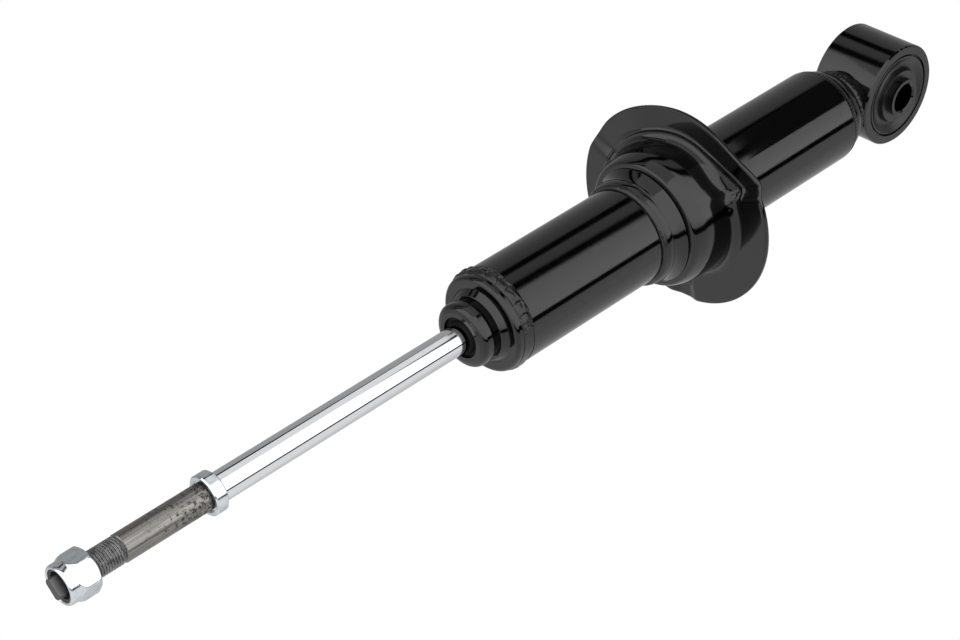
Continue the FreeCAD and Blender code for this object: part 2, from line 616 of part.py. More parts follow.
def foot_valve():
    """Valve body on slotted legs, with its discs below, its check plate and spring above, on one rivet."""
    shank = f"({rivet_r} + dims.press_gap)"
    leg_out = "dims.foot_leg_od / 2"
    leg_in = f"({leg_out} - dims.foot_leg_wall)"
    plug = f"({cylinder_r} - dims.press_gap)"
    corners = [(shank, foot_face), (leg_in, foot_face), (leg_in, base_floor), (leg_out, base_floor),
               (leg_out, foot_face), (cylinder_out, foot_face), (cylinder_out, cylinder_foot),
               (plug, cylinder_foot), (plug, foot_top), (shank, foot_top)]
    body = turned("foot_body", corners)
    port_ring(body, "foot_ports", "dims.foot_port / 2", "dims.foot_circle / 2", "dims.foot_port_count")
    slots = doc.addObject("Part::MultiFuse", "foot_slots")
    bars = []
    for number, turn in enumerate((0, 90)):
        bar = doc.addObject("Part::Box", f"foot_slot_{number}")
        bar.setExpression("Length", "2 * dims.foot_leg_od")
        bar.setExpression("Width", "dims.foot_slot")
        bar.setExpression("Height", "dims.foot_slot_height")
        along = "Placement.Base.x" if turn == 0 else "Placement.Base.y"
        across = "Placement.Base.y" if turn == 0 else "Placement.Base.x"
        bar.setExpression(along, "-dims.foot_leg_od")
        bar.setExpression(across, "-dims.foot_slot / 2" if turn == 0 else "dims.foot_slot / 2")
        bar.setExpression("Placement.Base.z", base_floor)
        bar.Placement.Rotation = Rotation(Vector(0, 0, 1), turn)
        bars.append(bar)
    slots.Shapes = bars
    slotted = doc.addObject("Part::Cut", "foot_slotted")
    slotted.Base = body
    slotted.Tool = slots
    keep("foot_valve_body", slotted)

    discs_under = f"({foot_face} - dims.foot_disc_height)"
    discs = hoop(shank, "dims.foot_disc_od / 2", discs_under, foot_face)
    keep("foot_valve_discs", turned("foot_discs", discs))
    keep("check_plate", turned("check", hoop(shank, "dims.check_od / 2", foot_top, check_top)))
    spring_r = "dims.check_spring_od / 2"
    crown = f"({shank} + dims.foot_disc_height)"
    rise = "dims.check_spring_height / 3"
    keep("check_spring", turned("dished_spring", [
        (shank, f"({rivet_seat} - {rise})"), (crown, f"({rivet_seat} - {rise})"), (spring_r, check_top),
        (spring_r, f"({check_top} + {rise})"), (crown, rivet_seat), (shank, rivet_seat)]))
    head = "dims.rivet_head_od / 2"
    low = f"({discs_under} - dims.rivet_head)"
    high = f"({rivet_seat} + dims.rivet_head)"
    keep("foot_valve_rivet", turned("rivet", [
        (0, low), (head, low), (head, discs_under), (rivet_r, discs_under), (rivet_r, rivet_seat),
        (head, rivet_seat), (head, high), (0, high)], bevels=[((1, 6), "dims.rod_edge")]))


def piston_rod():
    """Rod with a lower spigot for the piston, a bare stud, a thread and a tang with two flats."""
    spigot_low = f"({piston_nut_low} - dims.spigot_end)"
    corners = [(0, spigot_low), (spigot_r, spigot_low), (spigot_r, shoulder), (rod_r, shoulder),
               (rod_r, collar_low), (stud_r, collar_low), (stud_r, recess_low), (thread_r, recess_low),
               (thread_r, stud_low), (stud_r, stud_low), (stud_r, f"({thread_low} - dims.rod_edge)"),
               (f"({thread_r} - dims.rod_edge)", thread_low), (thread_r, f"({thread_low} + dims.rod_edge)"),
               (thread_r, rod_tip), (0, rod_tip)]
    rod = turned("turned_rod", corners, bevels=[((1, 13), "dims.rod_edge")])
    cheeks = []
    for number, side in enumerate((0, 180)):
        cheek = doc.addObject("Part::Box", f"tang_cheek_{number}")
        cheek.setExpression("Length", "dims.thread_od")
        cheek.setExpression("Width", "2 * dims.thread_od")
        cheek.setExpression("Height", "2 * dims.tang_length")
        turn = f"(dims.tang_angle + {side}) * 1deg"
        cheek.Placement.Rotation = Rotation(Vector(0, 0, 1), 0)
        cheek.setExpression("Placement.Rotation.Angle", turn)
        offset = "dims.tang_thick / 2"
        cheek.setExpression("Placement.Base.x", f"{offset} * cos({turn}) + dims.thread_od * sin({turn})")
        cheek.setExpression("Placement.Base.y", f"{offset} * sin({turn}) - dims.thread_od * cos({turn})")
        cheek.setExpression("Placement.Base.z", f"{rod_tip} - dims.tang_length")
        cheeks.append(cheek)
    flats = doc.addObject("Part::MultiFuse", "tang_flats")
    flats.Shapes = cheeks
    finished = doc.addObject("Part::Cut", "rod_with_tang")
    finished.Base = rod
    finished.Tool = flats
    keep("piston_rod", finished)


def stud_collar():
    inner = f"({stud_r} + dims.press_gap)"
    recess = f"({stud_r} + dims.collar_recess / 2)"
    outer = "dims.collar_od / 2"
    corners = [(inner, collar_low), (outer, collar_low), (outer, collar_top), (recess, collar_top),
               (recess, recess_low), (inner, recess_low)]
    keep("stud_collar", turned("collar", corners, bevels=[((1, 2), "dims.collar_edge")]))


def hexagon(name, flats, low, height, angle):
    """A hexagonal bar to be trimmed by a turned outline."""
    bar = doc.addObject("Part::Prism", name)
    bar.Polygon = 6
    bar.setExpression("Circumradius", f"{flats} / sqrt(3)")
    bar.setExpression("Height", height)
    bar.setExpression("Placement.Base.z", low)
    bar.Placement.Rotation = Rotation(Vector(0, 0, 1), 0)
    bar.setExpression("Placement.Rotation.Angle", f"{angle} * 1deg")
    return bar


def lock_nut():
    """Hexagon with bevelled corners and a collar rolled in over the locking ring."""
    bore = f"({thread_r} + dims.run_gap)"
    corner_r = "dims.nut_flats / sqrt(3)"
    face_r = "dims.nut_flats / 2"
    collar = "dims.nut_collar / 2"
    mouth = "dims.nut_mouth / 2"
    pocket = "(dims.insert_od / 2 + dims.press_gap)"
    hex_top = f"({nut_low} + dims.nut_hex)"
    bevel = "dims.nut_bevel"
    corners = [(bore, nut_low), (face_r, nut_low), (corner_r, f"({nut_low} + {bevel} / 2)"),
               (corner_r, f"({hex_top} - {bevel})"), (collar, hex_top),
               (collar, f"({nut_top} - dims.nut_lip / 2)"), (f"({collar} - dims.nut_lip)", nut_top),
               (mouth, nut_top), (mouth, insert_top), (pocket, insert_top), (pocket, insert_low),
               (bore, insert_low)]
    turned_nut = turned("nut_outline", corners)
    bar = hexagon("nut_bar", "dims.nut_flats", nut_low, "dims.nut_height", "dims.nut_angle")
    nut = doc.addObject("Part::Common", "nut")
    nut.Base = bar
    nut.Tool = turned_nut
    keep("lock_nut", nut)
    keep("nut_insert", turned("locking_ring", hoop(bore, "dims.insert_od / 2", insert_low, insert_top)))


def rebound_pieces():
    inner = f"({rod_r} + dims.press_gap)"
    buffer = hoop(inner, "dims.buffer_od / 2", stop_top, buffer_top)
    keep("rebound_buffer", turned("buffer", buffer, [((1, 2), "dims.buffer_round")]))
    keep("rebound_stop", turned("stop", hoop(inner, "dims.stop_od / 2", stop_low, stop_top)))


def piston_pieces():
    """The piston with its two rings of ports, its band, and the plates and nut that close the stack."""
    band_gap = "dims.press_gap"
    band_high = f"({band_low} + dims.band_height)"
    corners = [(on_spigot, piston_low), (piston_r, piston_low), (piston_r, f"({band_low} - {band_gap})"),
               (groove_r, f"({band_low} - {band_gap})"), (groove_r, f"({band_high} + {band_gap})"),
               (piston_r, f"({band_high} + {band_gap})"), (piston_r, piston_top), (on_spigot, piston_top)]
    body = turned("piston_body", corners)
    port_ring(body, "intake_ports", "dims.intake_port / 2", "dims.intake_circle / 2", "dims.port_count")
    port_ring(body, "rebound_ports", "dims.rebound_port / 2", "dims.rebound_circle / 2", "dims.port_count")
    keep("piston", body)
    keep("piston_band", turned("band", hoop(f"({band_r} - dims.band_thick)", band_r, band_low, band_high)))
    keep("piston_support", turned("support", hoop(on_spigot, "dims.support_od / 2", support_low, shoulder)))
    keep("intake_plate", turned("intake", hoop(on_spigot, "dims.intake_od / 2", piston_top, support_low)))
    keep("rebound_discs", turned("discs", hoop(on_spigot, "dims.disc_od / 2", discs_low, piston_low)))
    keep("disc_spacer", turned("spacer", hoop(on_spigot, "dims.spacer_od / 2", spacer_low, discs_low)))
    corner_r = "dims.piston_nut_flats / sqrt(3)"
    nut_outline = turned("piston_nut_outline", hoop(on_spigot, corner_r, piston_nut_low, spacer_low))
    bar = hexagon("piston_nut_bar", "dims.piston_nut_flats", piston_nut_low, "dims.piston_nut_height", "0")
    nut = doc.addObject("Part::Common", "piston_hexagon")
    nut.Base = bar
    nut.Tool = nut_outline
    keep("piston_nut", nut)


BUILDERS = (lower_eye, eye_bush, eye_sleeve, base_cap, base_weld, eye_weld, reserve_tube, spring_seat,
            seat_weld, top_cap, closing_weld, dust_wiper, oil_seal, rod_guide, guide_pieces, pressure_tube,
            foot_valve, piston_rod, stud_collar, lock_nut, rebound_pieces, piston_pieces)


def main():
    for build in BUILDERS:
        build()
    doc.recompute()
    for item in doc.Objects:
        if "Invalid" in item.State or "Error" in item.State:
            raise RuntimeError(f"{item.Name} failed: {item.State}")
    for name, item in parts.items():
        if item.Shape.isNull() or not item.Shape.isValid():
            raise RuntimeError(f"{name} has no valid shape")
    os.makedirs("parts", exist_ok=True)
    for name, item in parts.items():
        item.Shape.exportStep(f"parts/{name}.step")
        print(f"{name}: {len(item.Shape.Solids)} solid, {item.Shape.Volume:.1f} mm3")


main()
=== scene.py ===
"""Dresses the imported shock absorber: paint, welds, spring seat, rod, nut, and a studio round it.

Pieces are shaped in millimetres. Settings, materials, cards and the camera are in metres.
"""
import math

import bpy
from bpy.props import FloatProperty, FloatVectorProperty, PointerProperty
from mathutils import Matrix, Vector, noise


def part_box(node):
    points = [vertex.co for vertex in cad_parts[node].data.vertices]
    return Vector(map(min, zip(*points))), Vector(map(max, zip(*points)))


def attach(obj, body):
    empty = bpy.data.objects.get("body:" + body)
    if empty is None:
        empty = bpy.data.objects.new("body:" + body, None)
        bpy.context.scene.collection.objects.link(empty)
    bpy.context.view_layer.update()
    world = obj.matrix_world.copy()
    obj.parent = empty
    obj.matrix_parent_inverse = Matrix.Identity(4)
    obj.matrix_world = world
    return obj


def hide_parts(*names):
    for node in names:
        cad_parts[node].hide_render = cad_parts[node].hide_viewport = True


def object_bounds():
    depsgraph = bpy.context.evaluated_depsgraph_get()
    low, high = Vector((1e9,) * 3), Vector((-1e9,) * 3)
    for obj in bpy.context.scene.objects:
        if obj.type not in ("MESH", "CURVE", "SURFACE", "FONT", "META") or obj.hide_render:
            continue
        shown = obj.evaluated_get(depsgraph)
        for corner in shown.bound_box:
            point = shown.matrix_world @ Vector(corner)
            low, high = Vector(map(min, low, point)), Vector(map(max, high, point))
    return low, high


bl_info = {
    "name": "Shock Absorber Dressing",
    "version": (1, 0, 0),
    "blender": (4, 5, 0),
    "location": "View3D > Sidebar > Damper",
    "description": "Finishes a twin-tube shock absorber built on its packed solids",
    "category": "Object",
}

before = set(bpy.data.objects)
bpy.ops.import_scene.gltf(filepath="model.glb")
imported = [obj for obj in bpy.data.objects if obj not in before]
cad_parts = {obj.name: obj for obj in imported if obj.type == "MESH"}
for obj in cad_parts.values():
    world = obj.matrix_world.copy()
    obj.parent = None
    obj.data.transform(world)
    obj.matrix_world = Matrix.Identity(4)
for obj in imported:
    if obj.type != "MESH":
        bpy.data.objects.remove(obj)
CAD_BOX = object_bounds()
MM = 0.001
# Radius kept at the axis of a turned piece, so that its faces there have an area.
AXIS_R = 0.01


def level(node, end):
    """Lowest (0) or highest (1) level of a CAD node along the rod, in millimetres."""
    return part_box(node)[end].z / MM


def levels(node):
    """Both the lowest and the highest level of a CAD node, in millimetres."""
    return level(node, 0), level(node, 1)


def reach(node):
    """Largest radius of a CAD node about the rod's axis, in millimetres."""
    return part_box(node)[1].x / MM


# Settings


def colour_setting(name, description, default):
    """A colour that the user may change."""
    return FloatVectorProperty(name=name, description=description, subtype="COLOR", default=default,
                               min=0, max=1)


class DamperColours(bpy.types.PropertyGroup):
    """Colours of the damper's finishes."""
    paint: colour_setting("Paint", "Black paint on the shell", (0.0006, 0.0006, 0.0007))
    rubber: colour_setting("Rubber", "Rubber of the bush", (0.003, 0.003, 0.0034))
    wiper: colour_setting("Wiper", "Dull rubber of the wiper's lip", (0.002, 0.002, 0.0022))
    chrome: colour_setting("Chrome", "Hard chrome on the rod", (0.70, 0.71, 0.73))
    zinc: colour_setting("Zinc", "Bright zinc on the collar and nut", (0.63, 0.665, 0.70))
    steel: colour_setting("Steel", "Bare steel of the stud", (0.27, 0.26, 0.245))
    stain: colour_setting("Stain", "Dark stains on the bare stud", (0.02, 0.018, 0.016))
    thread: colour_setting("Thread", "Dark film in the thread", (0.2, 0.2, 0.2))
    iron: colour_setting("Iron", "Pressed iron of the piston and the valve", (0.16, 0.16, 0.165))
    machined: colour_setting("Machined", "Machined steel inside the damper", (0.45, 0.46, 0.47))
    bronze: colour_setting("Bronze", "Lining of the guide's bush", (0.5, 0.33, 0.15))
    plastic: colour_setting("Plastic", "Piston band and locking ring", (0.03, 0.03, 0.033))


class DamperSizes(bpy.types.PropertyGroup):
    """Sizes of the details that the solids leave out."""
    pitch: FloatProperty(name="Thread pitch", description="Advance of the thread in one turn",
                         unit="LENGTH", default=0.0015, min=0.0008, max=0.003, precision=4)
    thread_depth: FloatProperty(name="Thread depth", description="Depth of the thread's groove",
                                unit="LENGTH", default=0.0008, min=0.0002, max=0.0015, precision=4)
    ripple: FloatProperty(name="Weld ripple", description="How deep the ripples cut into the weld beads",
                          subtype="FACTOR", default=0.3, min=0.0, max=0.8)
    crumple: FloatProperty(name="Crumple", description="Height of the folds at the spring stop",
                           unit="LENGTH", default=0.0009, min=0.0, max=0.002, precision=4)


class DamperStudio(bpy.types.PropertyGroup):
    """Light and camera of the studio."""
    front: FloatProperty(name="Front panel", description="Brightness of the panel at the camera's side",
                         default=2.0, min=0.0, max=4.0)
    table: FloatProperty(name="Table", description="Brightness of the white table and the walls",
                         default=0.97, min=0.0, max=4.0)
    ceiling: FloatProperty(name="Ceiling", description="Brightness of the ceiling strip",
                           default=0.58, min=0.0, max=4.0)
    rear: FloatProperty(name="Rear", description="Brightness behind the ceiling strip",
                        default=0.42, min=0.0, max=4.0)
    lens: FloatProperty(name="Lens", description="Focal length of the camera", unit="CAMERA",
                        default=91.739, min=20, max=300)
    camera_at: FloatVectorProperty(name="Camera", description="Place of the camera", subtype="XYZ",
                                   unit="LENGTH", default=(0.711850, 0.723330, 0.983287), size=3)


# Node helpers


def new_material(name):
    """A new material, its node tree and its shader."""
    material = bpy.data.materials.new(name)
    material.use_nodes = True
    tree = material.node_tree
    return material, tree, tree.nodes["Principled BSDF"]


def add_node(tree, kind, **settings):
    """A new node with its properties set; a key that names an input sets that input's value."""
    node = tree.nodes.new(kind)
    for key, value in settings.items():
        if key in node.inputs:
            node.inputs[key].default_value = value
        else:
            setattr(node, key, value)
    return node


def math_node(tree, operation, first, second=None):
    """Result of an operation on one or two values, each a number or a socket."""
    node = add_node(tree, "ShaderNodeMath", operation=operation)
    for socket, value in zip(node.inputs, (first, second)):
        if value is None:
            continue
        if isinstance(value, (int, float)):
            socket.default_value = value
        else:
            tree.links.new(value, socket)
    return node.outputs[0]


def ramp_node(tree, source, stops):
    """Colour ramp through (position, grey or colour) stops."""
    node = tree.nodes.new("ShaderNodeValToRGB")
    elements = node.color_ramp.elements
    while len(elements) < len(stops):
        elements.new(1.0)
    for element, (position, colour) in zip(elements, stops):
        element.position = position
        shade = (colour,) * 3 if isinstance(colour, (int, float)) else tuple(colour)
        element.color = (*shade, 1.0)
    tree.links.new(source, node.inputs["Fac"])
    return node.outputs["Color"]


def shades(colour, *stops):
    """Ramp stops of one colour, from pairs of a position and the colour's share there."""
    return [(position, tuple(share * part for part in colour)) for position, share in stops]


def noise_node(tree, place, scale, detail, roughness=0.55):
    """Noise from 0 to 1, with scale features to a metre."""
    node = add_node(tree, "ShaderNodeTexNoise", Scale=scale, Detail=detail, Roughness=roughness)
    tree.links.new(place, node.inputs["Vector"])
    return node.outputs["Fac"]


def drawn_noise(tree, place, scales, detail):
    """Noise drawn out along some axes, with its own scale on each."""
    squash = add_node(tree, "ShaderNodeMapping", Scale=scales)
    tree.links.new(place, squash.inputs["Vector"])
    return noise_node(tree, squash.outputs["Vector"], 1.0, detail)


def mix_colours(tree, share, first, second):
    """The first colour turning into the second as the share goes from 0 to 1."""
    node = add_node(tree, "ShaderNodeMix", data_type="RGBA")
    tree.links.new(share, node.inputs["Factor"])
    for name, value in (("A", first), ("B", second)):
        socket = [item for item in node.inputs if item.name == name and item.type == "RGBA"][0]
        if hasattr(value, "links"):
            tree.links.new(value, socket)
        else:
            socket.default_value = (*value, 1.0)
    return [item for item in node.outputs if item.type == "RGBA"][0]


def bump_node(tree, height, depth, strength):
    """Bump of a depth in metres."""
    node = add_node(tree, "ShaderNodeBump", Strength=strength, Distance=depth)
    tree.links.new(height, node.inputs["Height"])
    return node.outputs["Normal"]


def place_of(tree):
    """Position on the object, in metres in the part's frame."""
    return add_node(tree, "ShaderNodeTexCoord").outputs["Object"]


def dress(tree, shader, colour, roughness, bump):
    """Leads a colour, a roughness and a bump into the shader."""
    for name, source in (("Base Color", colour), ("Roughness", roughness), ("Normal", bump)):
        tree.links.new(source, shader.inputs[name])


def white_to_camera(tree, lit, white, output):
    """Shows plain white to the camera and through glass, and the lit shader to every other ray."""
    path = tree.nodes.new("ShaderNodeLightPath")
    seen = math_node(tree, "MAXIMUM", path.outputs["Is Camera Ray"], path.outputs["Is Transmission Ray"])
    mix = tree.nodes.new("ShaderNodeMixShader")
    for source, socket in ((seen, mix.inputs["Fac"]), (lit, mix.inputs[1]), (white, mix.inputs[2])):
        tree.links.new(source, socket)
    tree.links.new(mix.outputs["Shader"], output.inputs["Surface"])


# Finishes

PAINT_IOR = 1.5
DUST = (0.16, 0.16, 0.16)


def gloss_paint(tree, shader, colours):
    """Sprayed black paint: deep gloss, faint orange peel and a thin haze of dust."""
    place = place_of(tree)
    shader.inputs["IOR"].default_value = PAINT_IOR
    cloud = noise_node(tree, place, 60.0, 3.0)
    tint = ramp_node(tree, cloud, shades(colours.paint, (0.3, 0.8), (0.75, 1.25)))
    speck = ramp_node(tree, noise_node(tree, place, 900.0, 2.0), [(0.82, 0.0), (0.86, 0.12)])
    gloss = ramp_node(tree, noise_node(tree, place, 240.0, 3.0), [(0.3, 0.07), (0.7, 0.1)])
    peel = noise_node(tree, place, 420.0, 2.0, 0.4)
    dress(tree, shader, mix_colours(tree, speck, tint, DUST), gloss, bump_node(tree, peel, 0.00002, 0.35))


def weld_paint(tree, shader, colours):
    """The same paint over rough weld metal, with spatter and pits."""
    shader.inputs["IOR"].default_value = PAINT_IOR
    lumps = noise_node(tree, place_of(tree), 700.0, 5.0, 0.62)
    tint = ramp_node(tree, lumps, shades(colours.paint, (0.35, 0.7), (0.7, 1.9)))
    gloss = ramp_node(tree, lumps, [(0.3, 0.2), (0.7, 0.34)])
    dress(tree, shader, tint, gloss, bump_node(tree, lumps, 0.00016, 0.4))


def bush_rubber(tree, shader, colours):
    """Moulded rubber with a faint bloom."""
    place = place_of(tree)
    bloom = noise_node(tree, place, 130.0, 5.0, 0.6)
    tint = ramp_node(tree, bloom, shades(colours.rubber, (0.35, 0.7), (0.8, 2.0)))
    gloss = ramp_node(tree, bloom, [(0.3, 0.3), (0.7, 0.4)])
    grain = noise_node(tree, place, 1500.0, 2.0)
    dress(tree, shader, tint, gloss, bump_node(tree, grain, 0.00006, 0.4))


def wiper_rubber(tree, shader, colours):
    """Dull rubber of the wiper's lip, which hardly mirrors anything."""
    shader.inputs["Specular IOR Level"].default_value = 0.12
    grain = noise_node(tree, place_of(tree), 900.0, 2.0)
    tint = ramp_node(tree, grain, shades(colours.wiper, (0.3, 0.8), (0.7, 1.2)))
    gloss = ramp_node(tree, grain, [(0.3, 0.55), (0.7, 0.65)])
    dress(tree, shader, tint, gloss, bump_node(tree, grain, 0.00005, 0.4))


def hard_chrome(tree, shader, colours):
    """Ground and chromed rod: near mirror, with fine rings left by the grinding."""
    shader.inputs["Metallic"].default_value = 1.0
    rings = drawn_noise(tree, place_of(tree), (60.0, 60.0, 9000.0), 3.0)
    tint = ramp_node(tree, rings, shades(colours.chrome, (0.3, 0.95), (0.7, 1.0)))
    gloss = ramp_node(tree, rings, [(0.3, 0.05), (0.7, 0.085)])
    dress(tree, shader, tint, gloss, bump_node(tree, rings, 0.000002, 0.25))


def bright_zinc(tree, shader, colours):
    """Blue-white zinc plate with a cloudy passivation film."""
    place = place_of(tree)
    shader.inputs["Metallic"].default_value = 1.0
    cloud = noise_node(tree, place, 330.0, 7.0, 0.65)
    tint = ramp_node(tree, cloud, shades(colours.zinc, (0.34, 0.8), (0.5, 1.0), (0.7, 1.08)))
    gloss = ramp_node(tree, cloud, [(0.3, 0.1), (0.7, 0.17)])
    grain = noise_node(tree, place, 900.0, 3.0)
    dress(tree, shader, tint, gloss, bump_node(tree, grain, 0.00002, 0.2))


def stained_steel(tree, shader, colours):
    """Bare drawn steel with streaks along it and dark stains that thicken towards the collar."""
    place = place_of(tree)
    shader.inputs["Metallic"].default_value = 1.0
    streaks = drawn_noise(tree, place, (1100.0, 1100.0, 30.0), 4.0)
    bare = ramp_node(tree, streaks, shades(colours.steel, (0.3, 0.55), (0.65, 1.0)))
    blots = noise_node(tree, place, 520.0, 9.0, 0.75)
    height = tree.nodes.new("ShaderNodeSeparateXYZ")
    tree.links.new(place, height.inputs[0])
    even_at, fade = level("stud_collar", 1) * MM + 0.034, 0.3
    near = math_node(tree, "DIVIDE", math_node(tree, "SUBTRACT", even_at, height.outputs["Z"]), fade)
    spread = math_node(tree, "ADD", blots, near)
    share = ramp_node(tree, spread, [(0.57, 0.0), (0.67, 0.9)])
    tint = mix_colours(tree, share, bare, tuple(colours.stain))
    gloss = ramp_node(tree, spread, [(0.5, 0.27), (0.65, 0.5)])
    dress(tree, shader, tint, gloss, bump_node(tree, streaks, 0.00001, 0.4))


def dark_thread(tree, shader, colours):
    """Rolled thread under a dark oil film, brighter where the film is worn."""
    shader.inputs["Metallic"].default_value = 1.0
    film = noise_node(tree, place_of(tree), 380.0, 5.0, 0.6)
    tint = ramp_node(tree, film, shades(colours.thread, (0.3, 0.5), (0.75, 1.8)))
    gloss = ramp_node(tree, film, [(0.3, 0.32), (0.7, 0.46)])
    dress(tree, shader, tint, gloss, bump_node(tree, film, 0.00004, 0.3))


def grained(tree, shader, colour, metal, roughness, grain):
    """A plain cast, machined or moulded surface, with grain features to a metre."""
    shader.inputs["Metallic"].default_value = metal
    cloud = noise_node(tree, place_of(tree), grain, 5.0, 0.6)
    tint = ramp_node(tree, cloud, shades(colour, (0.3, 0.8), (0.7, 1.1)))
    gloss = ramp_node(tree, cloud, [(0.3, roughness), (0.7, roughness + 0.12)])
    dress(tree, shader, tint, gloss, bump_node(tree, cloud, 0.00005, 0.3))


def tang_steel_painted_shade(tree, shader, colours):
    """Sheared steel of the tang in the thread's colour, darkened to 0.55 of it as painted shade for the
    shadow inside the nut's mouth.
    """
    # The 0.55 share is painted shade: it dims the tang as if it stood in the shadow of the nut's collar.
    grained(tree, shader, [0.55 * part for part in colours.thread], 1.0, 0.42, 600.0)


def pressed_iron(tree, shader, colours):
    """Sintered iron of the guide, the piston and the foot valve."""
    grained(tree, shader, colours.iron, 0.8, 0.5, 900.0)


def machined_steel(tree, shader, colours):
    """Turned and stamped steel of the inner pieces."""
    grained(tree, shader, colours.machined, 1.0, 0.28, 500.0)


def lined_bronze(tree, shader, colours):
    """Bronze lining of the guide's bush."""
    grained(tree, shader, colours.bronze, 1.0, 0.32, 700.0)


def moulded_plastic(tree, shader, colours):
    """Dark plastic of the piston band and the locking ring."""
    grained(tree, shader, colours.plastic, 0.0, 0.5, 600.0)


def finish(make):
    """The material that a finish makes, made once and named after it."""
    material = bpy.data.materials.get(make.__name__)
    if material is None:
        material, tree, shader = new_material(make.__name__)
        make(tree, shader, bpy.context.scene.damper_colours)
    return material


def coat(node, material):
    """Gives a CAD node that keeps its own shape a better material."""
    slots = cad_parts[node].data.materials
    slots.clear()
    slots.append(material)


# Mesh helpers, all in millimetres


def piece(name, points, faces, material, body, node, crease=35):
    """A piece in place of a CAD node, smooth but for edges sharper than the crease, in degrees."""
    mesh = bpy.data.meshes.new(name)
    mesh.from_pydata([Vector(point) * MM for point in points], [], faces)
    if mesh.validate():
        raise RuntimeError(f"{name} has bad faces")
    mesh.shade_smooth()
    mesh.set_sharp_from_angle(angle=math.radians(crease))
    mesh.materials.append(material)
    made = bpy.data.objects.new(name, mesh)
    bpy.context.scene.collection.objects.link(made)
    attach(made, body)
    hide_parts(node)


def grid_faces(rows, columns, close_rows=False, close_columns=True):
    """Quads of a grid of points stored row by row."""
    faces = []
    for row in range(rows if close_rows else rows - 1):
        after = (row + 1) % rows
        for column in range(columns if close_columns else columns - 1):
            beside = (column + 1) % columns
            faces.append((row * columns + column, row * columns + beside,
                          after * columns + beside, after * columns + column))
    return faces


def capped_faces(rows, columns):
    """Faces of a stack of closed rows, with its bottom and its top filled."""
    top = (rows - 1) * columns
    return grid_faces(rows, columns) + [tuple(range(columns))[::-1], tuple(range(top, top + columns))]


def ease(share):
    """A share held between 0 and 1, with soft ends."""
    share = min(max(share, 0.0), 1.0)
    return share * share * (3 - 2 * share)


def between(turn, span):
    """0 before a span of directions, 1 after it, and a soft step across it."""
    return ease((turn - span[0]) / (span[1] - span[0]))


def within(turn, spans):
    """1 inside four directions, with soft steps over the first two and the last two, and 0 outside."""
    return between(turn, spans[:2]) - between(turn, spans[2:])


def bell_curve(place, middle, spread):
    """1 at the middle, falling off on both sides."""
    return math.exp(-((place - middle) / spread) ** 2)


def rough(*place):
    """Smooth noise from -1 to 1 at a place."""
    return noise.noise(Vector(place))


def rough_round(angle, size, layer):
    """The same noise on a circle of a size, so that it meets itself after a turn."""
    return rough(size * math.cos(angle), size * math.sin(angle), layer)


def around(radius, angle, height):
    """The point at a radius, an angle and a height about the rod's axis."""
    return radius * math.cos(angle), radius * math.sin(angle), height


def smooth_line(points, count):
    """Points along a smooth curve through the given ones, count to each run."""
    line = []
    last = len(points) - 1
    for number in range(last):
        before, start, end, after = (points[min(max(number + shift, 0), last)] for shift in (-1, 0, 1, 2))
        for step in range(count):
            t = step / count
            line.append(tuple(0.5 * (2 * b + (c - a) * t + (2 * a - 5 * b + 4 * c - d) * t * t
                                     + (3 * b - a - 3 * c + d) * t ** 3)
                              for a, b, c, d in zip(before, start, end, after)))
    return line + [points[-1]]


def rounded(corners, radii, count):
    """An outline with some of its corners rounded; a corner's number gives its radius."""
    line = []
    for number, corner in enumerate(corners):
        radius = radii.get(number)
        if not radius:
            line.append(corner)
            continue
        here = Vector(corner)
        back = (Vector(corners[number - 1]) - here).normalized()
        ahead = (Vector(corners[(number + 1) % len(corners)]) - here).normalized()
        half = back.angle(ahead) / 2
        centre = here + (back + ahead).normalized() * (radius / math.sin(half))
        first = here + back * (radius / math.tan(half)) - centre
        last = here + ahead * (radius / math.tan(half)) - centre
        sweep = first.angle_signed(last)
        for step in range(count + 1):
            turn = Matrix.Rotation(-sweep * step / count, 2)
            line.append(tuple(centre + turn @ first))
    return line


def turned(name, line, material, body, node, across=False):
    """A closed outline of (radius, along) turned about the rod's axis, or across it about the eye's."""
    steps = 160
    points = []
    for step in range(steps):
        angle = 2 * math.pi * step / steps
        for radius, along in line:
            a, b = radius * math.cos(angle), radius * math.sin(angle)
            points.append((along, a, b) if across else (a, b, along))
    piece(name, points, grid_faces(steps, len(line), close_rows=True), material, body, node)


def swept(name, outline, steps, material, node, crease):
    """A closed outline of (radius, height) that changes with its direction round the tube, in degrees."""
    points = []
    for step in range(steps):
        turn = 360.0 * step / steps
        points += [around(radius, math.radians(turn), height) for radius, height in outline(turn)]
    faces = grid_faces(steps, len(points) // steps, close_rows=True)
    piece(name, points, faces, material, "damper_body", node, crease)


# Pieces


class DAMPER_OT_shell(bpy.types.Operator):
    """Paint the tube, the top cap, the eye and its sleeve, and dull the wiper"""
    bl_idname = "damper.shell"
    bl_label = "Paint Shell"
    bl_options = {"REGISTER", "UNDO"}

    def execute(self, context):
        for node in ("reserve_tube", "top_cap", "lower_eye", "eye_inner_sleeve"):
            coat(node, finish(gloss_paint))
        coat("dust_wiper", finish(wiper_rubber))
        return {"FINISHED"}


